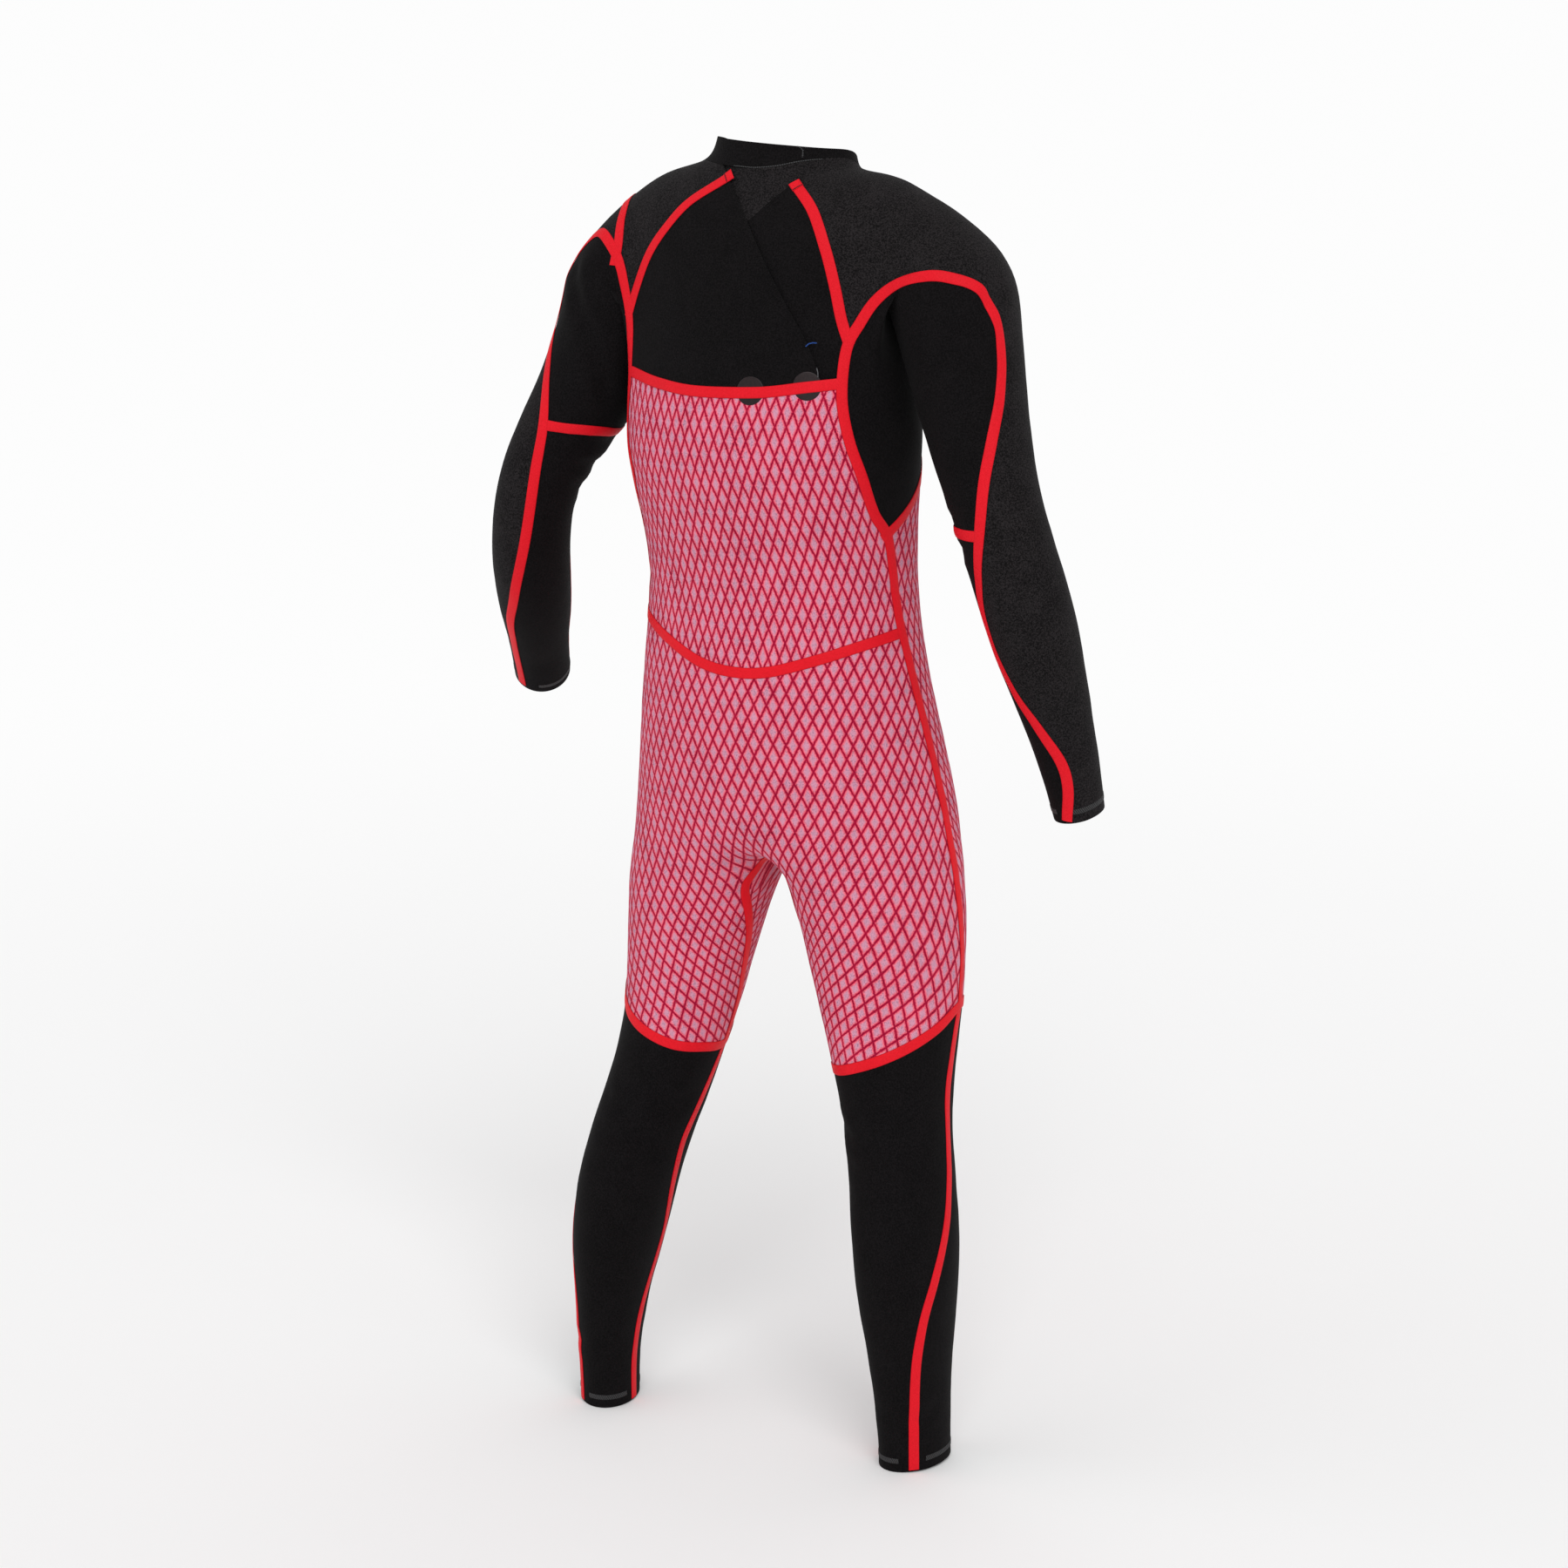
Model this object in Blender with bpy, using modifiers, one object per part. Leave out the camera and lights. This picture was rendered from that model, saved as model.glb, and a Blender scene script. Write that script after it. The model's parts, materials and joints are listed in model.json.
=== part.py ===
"""Steamer wetsuit in its worn shape, with no wearer in it, turned lining side out.

Metres, +Z up. The front faces -Y and the wearer's left arm is at +X.
The origin is the middle of the neck, level with the seam of the collar at the side.
"""
import math
from collections import namedtuple

import bmesh
import bpy
from mathutils import Vector
from mathutils.bvhtree import BVHTree
from mathutils.kdtree import KDTree

# ---------------------------------------------------------------- driving dimensions
WALL = 0.0025            # foam rubber with its knitted faces
SEAM_GAP = 0.0003        # between neighbouring panels, and under all that lies on them
TAPE_WIDTH = 0.0115
TAPE_THICKNESS = 0.0006
LAP = 0.016              # how far the under layer of the yoke reaches below the flap
LAP_EASE = 0.032         # over this width it rises again to the level of its own panel
PATCH_RADIUS = 0.0145
PATCH_THICKNESS = 0.0004

# ---------------------------------------------------------------- worn form
# Rows of the trunk run up from the split of the legs to the collar's rim. Each row is an oval:
# its height at the side, front and back, then its half width, its reach to the front and back
# from its own middle, how far back that middle sits, and how much higher its left end is.
TrunkRow = namedtuple("TrunkRow", "side_z front_z back_z half_width front back shift lift")
TRUNK = (
    TrunkRow(-0.655, -0.655, -0.655, 0.186, 0.110, 0.128, -0.030, 0),
    TrunkRow(-0.590, -0.590, -0.590, 0.175, 0.108, 0.128, -0.020, 0),
    TrunkRow(-0.525, -0.525, -0.525, 0.165, 0.105, 0.115, -0.006, 0),
    TrunkRow(-0.465, -0.465, -0.465, 0.156, 0.103, 0.103, 0.002, 0),
    TrunkRow(-0.405, -0.405, -0.405, 0.149, 0.103, 0.105, 0.001, 0),
    TrunkRow(-0.345, -0.345, -0.345, 0.153, 0.108, 0.112, 0.011, 0),
    TrunkRow(-0.285, -0.285, -0.285, 0.164, 0.112, 0.118, 0.026, 0),
    TrunkRow(-0.228, -0.225, -0.220, 0.164, 0.115, 0.118, 0.022, 0),
    TrunkRow(-0.122, -0.155, -0.150, 0.160, 0.108, 0.112, 0.014, 0),
    TrunkRow(0.000, -0.095, -0.080, 0.166, 0.088, 0.102, 0.008, 0),
    TrunkRow(0.018, -0.058, -0.026, 0.122, 0.074, 0.082, 0.000, 0.003),
    TrunkRow(0.018, -0.035, 0.012, 0.080, 0.066, 0.068, -0.005, 0.004),
    TrunkRow(0.040, -0.006, 0.040, 0.075, 0.062, 0.063, -0.007, 0.007),
)
TRUNK_COLUMNS = 12
ARMHOLE_COLUMNS = (2, 3, 4)      # left side; the right side mirrors them
ARMHOLE_ROWS = (7, 8, 9)

# Sections of a limb run down from the body: distance out from the middle, distance back, height,
# the long and short half size, and the turn of the long one from straight ahead towards outside.
LimbRow = namedtuple("LimbRow", "out back z long short turn")
RIGHT_ARM = (
    LimbRow(0.194, 0.014, -0.080, 0.074, 0.068, 0),
    LimbRow(0.212, 0.020, -0.150, 0.067, 0.062, 0),
    LimbRow(0.227, 0.028, -0.208, 0.060, 0.056, 0),
    LimbRow(0.245, 0.038, -0.262, 0.053, 0.051, 0),
    LimbRow(0.266, 0.046, -0.322, 0.047, 0.045, 0),
    LimbRow(0.287, 0.042, -0.385, 0.050, 0.046, 0),
    LimbRow(0.302, 0.028, -0.450, 0.049, 0.045, 0),
    LimbRow(0.315, 0.010, -0.515, 0.041, 0.037, 0),
    LimbRow(0.327, -0.006, -0.578, 0.033, 0.030, 0),
    LimbRow(0.334, -0.020, -0.636, 0.031, 0.026, 0),
)
LEFT_ARM = (
    LimbRow(0.174, 0.014, -0.090, 0.074, 0.064, 0),
    LimbRow(0.190, 0.020, -0.152, 0.067, 0.061, 0),
    LimbRow(0.214, 0.028, -0.208, 0.060, 0.055, 0),
    LimbRow(0.246, 0.040, -0.262, 0.052, 0.047, 0),
    LimbRow(0.277, 0.050, -0.318, 0.046, 0.043, 0),
    LimbRow(0.295, 0.036, -0.380, 0.047, 0.042, 0),
    LimbRow(0.312, 0.006, -0.432, 0.045, 0.042, 0),
    LimbRow(0.332, -0.032, -0.476, 0.040, 0.038, 0),
    LimbRow(0.354, -0.072, -0.517, 0.033, 0.033, 0),
    LimbRow(0.375, -0.110, -0.556, 0.032, 0.032, 0),
)
LEG = (
    LimbRow(0.107, -0.014, -0.735, 0.094, 0.080, 50),
    LimbRow(0.118, -0.012, -0.795, 0.088, 0.074, 48),
    LimbRow(0.126, -0.008, -0.860, 0.080, 0.066, 42),
    LimbRow(0.135, 0.002, -0.925, 0.070, 0.059, 30),
    LimbRow(0.147, 0.018, -0.985, 0.061, 0.055, 15),
    LimbRow(0.162, 0.036, -1.040, 0.062, 0.054, 10),
    LimbRow(0.173, 0.050, -1.100, 0.068, 0.054, 8),
    LimbRow(0.180, 0.058, -1.160, 0.065, 0.049, 8),
    LimbRow(0.186, 0.062, -1.225, 0.054, 0.039, 12),
    LimbRow(0.190, 0.062, -1.290, 0.046, 0.033, 16),
    LimbRow(0.191, 0.060, -1.345, 0.045, 0.032, 18),
)
CROTCH_Z = -0.690                # underside of the body between the legs
CROTCH_DEPTH = (-0.062, -0.005, 0.055)


def swell(columns):
    """How much wider a ring of the cage is than the smooth ring that it gives."""
    return 3 / (2 + math.cos(math.tau / columns))


def trunk_point(row, column):
    """A point of the cage; column 0 is the front middle and they run to the wearer's left."""
    angle = math.tau * column / TRUNK_COLUMNS
    ahead, out = math.cos(angle), math.sin(angle)
    reach = row.front if ahead > 0 else row.back
    end_z = row.front_z if ahead > 0 else row.back_z
    grow = swell(TRUNK_COLUMNS)
    return Vector((
        row.half_width * out * grow,
        row.shift - reach * ahead * grow,
        row.side_z + (end_z - row.side_z) * ahead * ahead + row.lift * out,
    ))


def limb_frames(rows, side):
    """Centre, direction ahead and direction out for every section of a limb."""
    centres = [Vector((side * row.out, row.back, row.z)) for row in rows]
    frames = []
    for index, row in enumerate(rows):
        below = centres[min(index + 1, len(rows) - 1)]
        above = centres[max(index - 1, 0)]
        down = (below - above).normalized()
        out = Vector((side, 0, 0))
        out = (out - down * out.dot(down)).normalized()
        ahead = down.cross(out) * side
        frames.append((centres[index], ahead, out))
    return frames


def limb_ring(row, frame, angles):
    """Points of one section; angle 0 is ahead, a quarter turn is out."""
    centre, ahead, out = frame
    turn = math.radians(row.turn)
    grow = swell(len(angles))
    points = []
    for angle in angles:
        along = row.long * math.cos(angle - turn) * grow
        across = row.short * math.sin(angle - turn) * grow
        step_ahead = along * math.cos(turn) - across * math.sin(turn)
        step_out = along * math.sin(turn) + across * math.cos(turn)
        points.append(centre + ahead * step_ahead + out * step_out)
    return points


def bridge(mesh, upper, lower, side):
    """Quads between two rings of the same count."""
    count = len(upper)
    for i in range(count):
        j = (i + 1) % count
        corners = (upper[i], lower[i], lower[j], upper[j])
        mesh.faces.new(corners if side > 0 else corners[::-1])


def make_cage():
    """The coarse cage of the whole garment: trunk, two arms and two legs, open at its five ends."""
    mesh = bmesh.new()
    trunk = [[mesh.verts.new(trunk_point(row, column)) for column in range(TRUNK_COLUMNS)]
             for row in TRUNK]
    for level in range(len(TRUNK) - 1):
        for column in range(TRUNK_COLUMNS):
            after = (column + 1) % TRUNK_COLUMNS
            in_hole = ARMHOLE_ROWS[0] <= level < ARMHOLE_ROWS[-1]
            mirrored = TRUNK_COLUMNS - 1 - column
            if in_hole and (column in ARMHOLE_COLUMNS[:2] or mirrored in ARMHOLE_COLUMNS[:2]):
                continue
            mesh.faces.new((trunk[level][column], trunk[level][after],
                            trunk[level + 1][after], trunk[level + 1][column]))
    middle = [mesh.verts.new((0, y, CROTCH_Z)) for y in CROTCH_DEPTH]
    for side, arm in ((1, LEFT_ARM), (-1, RIGHT_ARM)):
        add_arm(mesh, trunk, arm, side)
        add_leg(mesh, trunk, middle, side)
    unused = [vert for vert in mesh.verts if not vert.link_faces]
    bmesh.ops.delete(mesh, geom=unused, context="VERTS")
    return mesh


def add_arm(mesh, trunk, rows, side):
    low, centre, top = ARMHOLE_ROWS
    front, mid, back = ARMHOLE_COLUMNS
    # from the front, over the top, down the back and under the arm
    rim = ((centre, front), (top, front), (top, mid), (top, back),
           (centre, back), (low, back), (low, mid), (low, front))
    upper = [trunk[level][side * column % TRUNK_COLUMNS] for level, column in rim]
    angles = [math.tau * i / len(rim) for i in range(len(rim))]
    for row, frame in zip(rows, limb_frames(rows, side)):
        lower = [mesh.verts.new(point) for point in limb_ring(row, frame, angles)]
        bridge(mesh, upper, lower, side)
        upper = lower


def add_leg(mesh, trunk, middle, side):
    half = TRUNK_COLUMNS // 2
    outer = [trunk[0][side * column % TRUNK_COLUMNS] for column in range(half + 1)]
    upper = outer + middle[::-1]
    first = -math.tau / len(upper)
    angles = [first + math.tau * i / len(upper) for i in range(len(upper))]
    for row, frame in zip(LEG, limb_frames(LEG, side)):
        lower = [mesh.verts.new(point) for point in limb_ring(row, frame, angles)]
        bridge(mesh, upper, lower, side)
        upper = lower


def smooth_form(levels):
    """The smooth surface of the cage, as triangles."""
    cage = make_cage()
    data = bpy.data.meshes.new("form")
    cage.to_mesh(data)
    cage.free()
    form = bpy.data.objects.new("form", data)
    bpy.context.scene.collection.objects.link(form)
    rounding = form.modifiers.new("rounding", "SUBSURF")
    rounding.levels = rounding.render_levels = levels
    result = bmesh.new()
    result.from_object(form, bpy.context.evaluated_depsgraph_get())
    bpy.data.objects.remove(form)
    bpy.data.meshes.remove(data)
    return result


# ---------------------------------------------------------------- seams
# A seam is drawn through points of the form. "back" and "front" give the distance out from the
# middle and the height; "trunk", "arm" and "leg" give the bearing in degrees round that tube,
# 0 straight ahead and 90 to the outside, and the height.
Spot = namedtuple("Spot", "where across z")

COLLAR_SEAM = (
    Spot("trunk", 0, -0.030), Spot("trunk", 45, -0.012), Spot("trunk", 90, 0.020),
    Spot("trunk", 135, 0.019), Spot("trunk", 180, 0.015), Spot("trunk", 225, 0.023),
    Spot("trunk", 270, 0.021), Spot("trunk", 315, -0.010),
)
LAP_EDGE = (
    Spot("back", 0.055, 0.0275), Spot("back", 0.032, 0.007), Spot("back", -0.004, -0.037),
    Spot("back", -0.050, -0.102), Spot("back", -0.085, -0.157), Spot("back", -0.1025, -0.200),
)
UNDER_TOP = (
    Spot("back", -0.045, 0.000), Spot("back", -0.024, -0.020), Spot("back", -0.003, -0.0385),
)
RAGLAN_BACK = {
    1: (Spot("back", 0.026, 0.008), Spot("back", 0.068, -0.018), Spot("back", 0.093, -0.046),
        Spot("back", 0.114, -0.076), Spot("back", 0.128, -0.108), Spot("back", 0.140, -0.142)),
    -1: (Spot("back", 0.045, 0.000), Spot("back", 0.073, -0.027), Spot("back", 0.095, -0.066),
         Spot("back", 0.107, -0.102), Spot("back", 0.115, -0.134), Spot("back", 0.125, -0.163)),
}
RAGLAN_FRONT = (
    Spot("front", 0.049, -0.003), Spot("front", 0.074, -0.048), Spot("front", 0.096, -0.095),
    Spot("front", 0.109, -0.135), Spot("front", 0.122, -0.176),
)
SHOULDER_LEFT = (
    Spot("back", 0.160, -0.086), Spot("back", 0.159, -0.058), Spot("back", 0.166, -0.026),
    Spot("front", 0.168, -0.028), Spot("front", 0.160, -0.070), Spot("front", 0.147, -0.122),
)
CHEST_BACK = (
    Spot("back", -0.1225, -0.196), Spot("back", -0.089, -0.200), Spot("back", -0.040, -0.206),
    Spot("back", 0.030, -0.207), Spot("back", 0.080, -0.202), Spot("back", 0.120, -0.195),
    Spot("back", 0.146, -0.190),
)
CHEST_FRONT = (
    Spot("front", -0.121, -0.195), Spot("front", -0.060, -0.212), Spot("front", 0.0, -0.217),
    Spot("front", 0.060, -0.212), Spot("front", 0.121, -0.195),
)
SIDE = (
    Spot("leg", 74, -0.866), Spot("leg", 76, -0.815), Spot("leg", 81, -0.760),
    Spot("leg", 88, -0.680), Spot("trunk", 95, -0.606), Spot("trunk", 96, -0.520),
    Spot("trunk", 99, -0.452), Spot("trunk", 102, -0.405), Spot("trunk", 104, -0.358),
    Spot("trunk", 110.5, -0.330), Spot("trunk", 114.5, -0.293),
)
SLEEVE_BACK = {
    1: (Spot("back", 0.143, -0.250), Spot("back", 0.136, -0.200), Spot("back", 0.135, -0.150),
        Spot("back", 0.145, -0.107), Spot("back", 0.160, -0.074), Spot("back", 0.188, -0.053),
        Spot("arm", 132, -0.066), Spot("arm", 124, -0.100), Spot("arm", 124, -0.150),
        Spot("arm", 150, -0.200), Spot("arm", 178, -0.250), Spot("arm", 200, -0.301),
        Spot("arm", 206, -0.377), Spot("arm", 190, -0.445), Spot("arm", 178, -0.485),
        Spot("arm", 174, -0.536), Spot("arm", 177, -0.570)),
    -1: (Spot("back", 0.126, -0.253), Spot("back", 0.119, -0.210), Spot("back", 0.121, -0.163),
         Spot("back", 0.132, -0.137), Spot("back", 0.146, -0.115), Spot("back", 0.167, -0.099),
         Spot("back", 0.195, -0.090), Spot("back", 0.224, -0.090), Spot("arm", 130, -0.104),
         Spot("arm", 119, -0.138), Spot("arm", 119, -0.171), Spot("arm", 126, -0.206),
         Spot("arm", 143, -0.250), Spot("arm", 162, -0.291), Spot("arm", 182, -0.334),
         Spot("arm", 208, -0.385), Spot("arm", 221, -0.435), Spot("arm", 212, -0.494),
         Spot("arm", 190, -0.536), Spot("arm", 170, -0.574), Spot("arm", 167, -0.603),
         Spot("arm", 182, -0.640)),
}
SLEEVE_FRONT = (
    Spot("trunk", 107, -0.357), Spot("trunk", 93, -0.329), Spot("trunk", 78, -0.296),
    Spot("trunk", 62, -0.262), Spot("front", 0.124, -0.232), Spot("front", 0.117, -0.196),
    Spot("front", 0.119, -0.163), Spot("front", 0.132, -0.132), Spot("front", 0.152, -0.112),
    Spot("front", 0.180, -0.106), Spot("arm", 14, -0.130), Spot("arm", 18, -0.170),
    Spot("arm", 12, -0.210), Spot("arm", 0, -0.260), Spot("arm", 346, -0.320),
    Spot("arm", 334, -0.385),
)
WRIST_FRONT = {
    1: (Spot("arm", 326, -0.430), Spot("arm", 324, -0.470), Spot("arm", 330, -0.505),
        Spot("arm", 335, -0.540)),
    -1: (Spot("arm", 326, -0.440), Spot("arm", 324, -0.500), Spot("arm", 330, -0.560),
         Spot("arm", 336, -0.632)),
}
ELBOW = {
    1: (Spot("arm", 175, -0.253), Spot("arm", 225, -0.258), Spot("arm", 262, -0.262),
        Spot("arm", 310, -0.262), Spot("arm", 3, -0.256)),
    -1: (Spot("arm", 182, -0.343), Spot("arm", 225, -0.342), Spot("arm", 270, -0.340),
         Spot("arm", 305, -0.340), Spot("arm", 346, -0.338)),
}
WAIST = (
    Spot("trunk", 263, -0.455), Spot("back", -0.122, -0.468), Spot("back", -0.083, -0.482),
    Spot("back", -0.038, -0.495), Spot("back", 0.0, -0.498), Spot("back", 0.042, -0.492),
    Spot("back", 0.089, -0.474), Spot("back", 0.123, -0.460), Spot("trunk", 97, -0.448),
)
THIGH = (
    Spot("leg", 0, -0.884), Spot("leg", 35, -0.870), Spot("leg", 74, -0.862),
    Spot("leg", 109, -0.880), Spot("leg", 138, -0.894), Spot("leg", 164, -0.906),
    Spot("leg", 189, -0.917), Spot("leg", 210, -0.925), Spot("leg", 237, -0.930),
    Spot("leg", 275, -0.934), Spot("leg", 305, -0.922), Spot("leg", 332, -0.902),
)
INSEAM_BACK = 0.028      # where the inseam crosses between the legs
INSEAM_HALF = (
    Spot("leg", 243, -0.724), Spot("leg", 238, -0.745), Spot("leg", 246, -0.775),
    Spot("leg", 254, -0.806), Spot("leg", 260, -0.844), Spot("leg", 270, -0.888),
    Spot("leg", 276, -0.938),
)
SHANK_OUTER = (
    Spot("leg", 74, -0.858), Spot("leg", 80, -0.910), Spot("leg", 86, -0.950),
    Spot("leg", 86, -0.995), Spot("leg", 90, -1.042), Spot("leg", 101, -1.085),
    Spot("leg", 119, -1.131), Spot("leg", 135, -1.174), Spot("leg", 146, -1.220),
    Spot("leg", 153, -1.280), Spot("leg", 156, -1.344),
)
SHANK_INNER = (
    Spot("leg", 276, -0.930), Spot("leg", 272, -0.990), Spot("leg", 268, -1.044),
    Spot("leg", 276, -1.098), Spot("leg", 285, -1.144), Spot("leg", 280, -1.190),
    Spot("leg", 270, -1.232), Spot("leg", 262, -1.290), Spot("leg", 262, -1.344),
)
DRAINS = (Spot("back", -0.032, -0.2045), Spot("back", -0.088, -0.199))

SAMPLE = 0.004           # spacing of the points that a seam is read at
RUN_ON = 0.020           # how far a seam is drawn past its last point


def tube_centre(where, side, z):
    """Middle of the trunk, an arm or a leg at a height."""
    if where == "trunk":
        middles = [Vector((0, row.shift, row.side_z)) for row in TRUNK[::-1]]
    else:
        rows = LEG if where == "leg" else (LEFT_ARM if side > 0 else RIGHT_ARM)
        middles = [Vector((side * row.out, row.back, row.z)) for row in rows]
    for above, below in zip(middles, middles[1:]):
        if z >= below.z or below is middles[-1]:
            break
    return above.lerp(below, (above.z - z) / (above.z - below.z))


def place(form, spot, side):
    """The point of the form that a spot names."""
    if spot.where in ("back", "front"):
        face = 1 if spot.where == "back" else -1
        start, heading = Vector((side * spot.across, face, spot.z)), Vector((0, -face, 0))
    else:
        bearing = math.radians(spot.across)
        start = tube_centre(spot.where, side, spot.z)
        heading = Vector((side * math.sin(bearing), -math.cos(bearing), 0))
    return form.ray_cast(start, heading)[0] or form.find_nearest(start + heading * 0.05)[0]


class Seam:
    """A smooth line on the form, with the way along it and the way across it at every sample."""

    def __init__(self, form, knots, closed=False):
        self.closed = closed
        points = [form.find_nearest(point) for point in smooth_line(knots, closed)]
        self.points = [found[0] for found in points]
        last = len(self.points) - 1
        self.normals = []
        for index in range(last + 1):
            near = points[max(index - 3, 0):index + 4]
            self.normals.append(sum((found[1] for found in near), Vector()).normalized())
        self.along, self.stations = [], [0.0]
        for index in range(last + 1):
            if closed:
                step = self.points[(index + 1) % (last + 1)] - self.points[index - 1]
            else:
                step = self.points[min(index + 1, last)] - self.points[max(index - 1, 0)]
            self.along.append(step.normalized())
            if index:
                reach = (self.points[index] - self.points[index - 1]).length
                self.stations.append(self.stations[-1] + reach)
        self.length = self.stations[-1]
        self.finder = KDTree(len(self.points))
        for index, point in enumerate(self.points):
            self.finder.insert(point, index)
        self.finder.balance()

    def locate(self, point):
        """Station along the seam, distance to its left and distance from it."""
        nearest, index = self.finder.find(point)[:2]
        step = point - nearest
        along = self.along[index]
        ahead = step.dot(along)
        leftward = self.normals[index].cross(along)
        return self.stations[index] + ahead, step.dot(leftward), (step - along * ahead).length

    def leftward(self, point):
        index = self.finder.find(point)[1]
        return self.normals[index].cross(self.along[index])

    def covers(self, station, margin=0.0):
        return self.closed or -margin <= station <= self.length + margin

    def between(self, station, first, second):
        """Whether a station lies inside the shorter way from one station to another."""
        first, second = min(first, second), max(first, second)
        if self.closed and second - first > self.length / 2:
            return station < first or station > second
        return first < station < second


def smooth_line(knots, closed):
    """Points at an even spacing along a smooth curve through the knots."""
    count = len(knots)
    spans = count if closed else count - 1
    line = []
    for index in range(spans):
        if closed:
            before, start, end, after = (knots[(index + step) % count] for step in (-1, 0, 1, 2))
        else:
            start, end = knots[index], knots[index + 1]
            before = knots[index - 1] if index else start * 2 - end
            after = knots[index + 2] if index + 2 < count else end * 2 - start
        steps = max(1, round((end - start).length / SAMPLE))
        for step in range(steps):
            t = step / steps
            line.append(0.5 * (2 * start + (end - before) * t
                               + (2 * before - 5 * start + 4 * end - after) * t ** 2
                               + (3 * start - before - 3 * end + after) * t ** 3))
    if not closed:
        line.append(knots[-1])
    return line


# ---------------------------------------------------------------- cutting the form
FLAT = 3.2               # facets that differ by less than this many degrees are joined
EVEN = 0.8               # the same for what lies on the panels, which keeps to their facets
HIDDEN = 99              # label of the hidden edge of the under layer
SNAP = 0.0015            # a corner this near a seam counts as lying on it
SAG = 0.004              # how far a flat facet may lie from the line that is drawn round it


def cut_along(mesh, seam, aside=0.0, label=0, snap=SNAP):
    """Cut the faces along a seam, or along a line beside it, and label the cut edges.

    Corners within the snap distance of the line are moved to it, where no line holds them yet.
    """
    out = mesh.verts.layers.float_vector["out"]
    lines = mesh.edges.layers.int["line"]
    across, stations = {}, {}
    for vert in mesh.verts:
        station, left, distance = seam.locate(vert.co)
        across[vert] = left - aside
        if (abs(left - aside) < snap and distance < abs(aside) + SAG
                and seam.covers(station, RUN_ON)):
            stations[vert] = station
            if not any(edge[lines] or edge.is_boundary for edge in vert.link_edges):
                vert.co -= seam.leftward(vert.co) * (left - aside)
    for edge in list(mesh.edges):
        first, second = edge.verts
        if first in stations or second in stations or across[first] * across[second] >= 0:
            continue
        low, high = 0.0, 1.0
        for _ in range(8):
            part = (low + high) / 2
            station, left, distance = seam.locate(first.co.lerp(second.co, part))
            if (left - aside) * across[first] > 0:
                low = part
            else:
                high = part
        if distance > abs(aside) + SAG or not seam.covers(station, RUN_ON):
            continue
        facing = first[out].lerp(second[out], part)
        vert = bmesh.utils.edge_split(edge, first, part)[1]
        vert[out] = facing
        stations[vert] = station
    for face in list(mesh.faces):
        corners = sorted((vert for vert in face.verts if vert in stations), key=stations.get)
        for start, end in zip(corners, corners[1:]):
            shared = [part for part in start.link_faces if part in end.link_faces]
            if shared and not mesh.edges.get((start, end)):
                bmesh.utils.face_split(shared[0], start, end)
    for edge in mesh.edges:
        first, second = edge.verts
        if edge[lines] or first not in stations or second not in stations:
            continue
        beside = [stations[vert] for face in edge.link_faces for vert in face.verts
                  if vert in stations and vert not in edge.verts]
        if not any(seam.between(other, stations[first], stations[second]) for other in beside):
            edge[lines] = label


def mark_cuts(mesh, seams, leave):
    """Mark the cuts between the ends of their seams, but for those to leave.

    Without the flap's own edge, the under layer reaches its hidden edge below the flap.
    """
    names = list(seams)
    lines = mesh.edges.layers.int["line"]
    for edge in mesh.edges:
        if edge[lines] == HIDDEN:
            edge.seam = "hidden" not in leave
            continue
        if not edge[lines]:
            edge.seam = False
            continue
        name = names[edge[lines] - 1]
        middle = (edge.verts[0].co + edge.verts[1].co) / 2
        margin = RUN_ON if name == "under_top" and "hidden" not in leave else 0.0
        covered = seams[name].covers(seams[name].locate(middle)[0], margin)
        edge.seam = covered and name not in leave


def regions(mesh):
    """Sets of faces that the marked cuts part from each other."""
    waiting, found = set(mesh.faces), []
    for face in list(mesh.faces):
        if face not in waiting:
            continue
        waiting.discard(face)
        region, front = {face}, [face]
        while front:
            for edge in front.pop().edges:
                if edge.seam:
                    continue
                for other in edge.link_faces:
                    if other in waiting:
                        waiting.discard(other)
                        region.add(other)
                        front.append(other)
        found.append(region)
    return found


def make_node(name, mesh, faces, lower, upper, colour):
    """A closed piece between two levels above the form, from some of its faces."""
    out = mesh.verts.layers.float_vector["out"]
    piece = bmesh.new()
    twins, facing = {}, {}
    for face in sorted(faces, key=lambda face: face.index):
        for vert in face.verts:
            if vert not in twins:
                twins[vert] = piece.verts.new(vert.co)
                facing[twins[vert]] = vert[out].normalized()
        piece.faces.new([twins[vert] for vert in face.verts])
    originals = {twin: vert for vert, twin in twins.items()}
    pull_in_rim(piece, SEAM_GAP / 2)
    top = list(piece.verts)
    low = {vert: piece.verts.new(vert.co + facing[vert] * lower(originals[vert])) for vert in top}
    rim = [edge for edge in piece.edges if edge.is_boundary]
    skin = list(piece.faces)
    for edge in rim:
        loop = edge.link_loops[0]
        start, end = loop.vert, loop.link_loop_next.vert
        piece.faces.new((end, start, low[start], low[end]))
    for face in skin:
        piece.faces.new([low[vert] for vert in reversed(face.verts)])
    for vert in top:
        vert.co += facing[vert] * upper(originals[vert])
    bmesh.ops.triangulate(piece, faces=piece.faces[:])
    data = bpy.data.meshes.new(name)
    piece.to_mesh(data)
    piece.free()
    node = bpy.data.objects.new(name, data)
    data.materials.append(cloth(name, colour))
    bpy.data.collections[GARMENT].objects.link(node)
    return node


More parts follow.
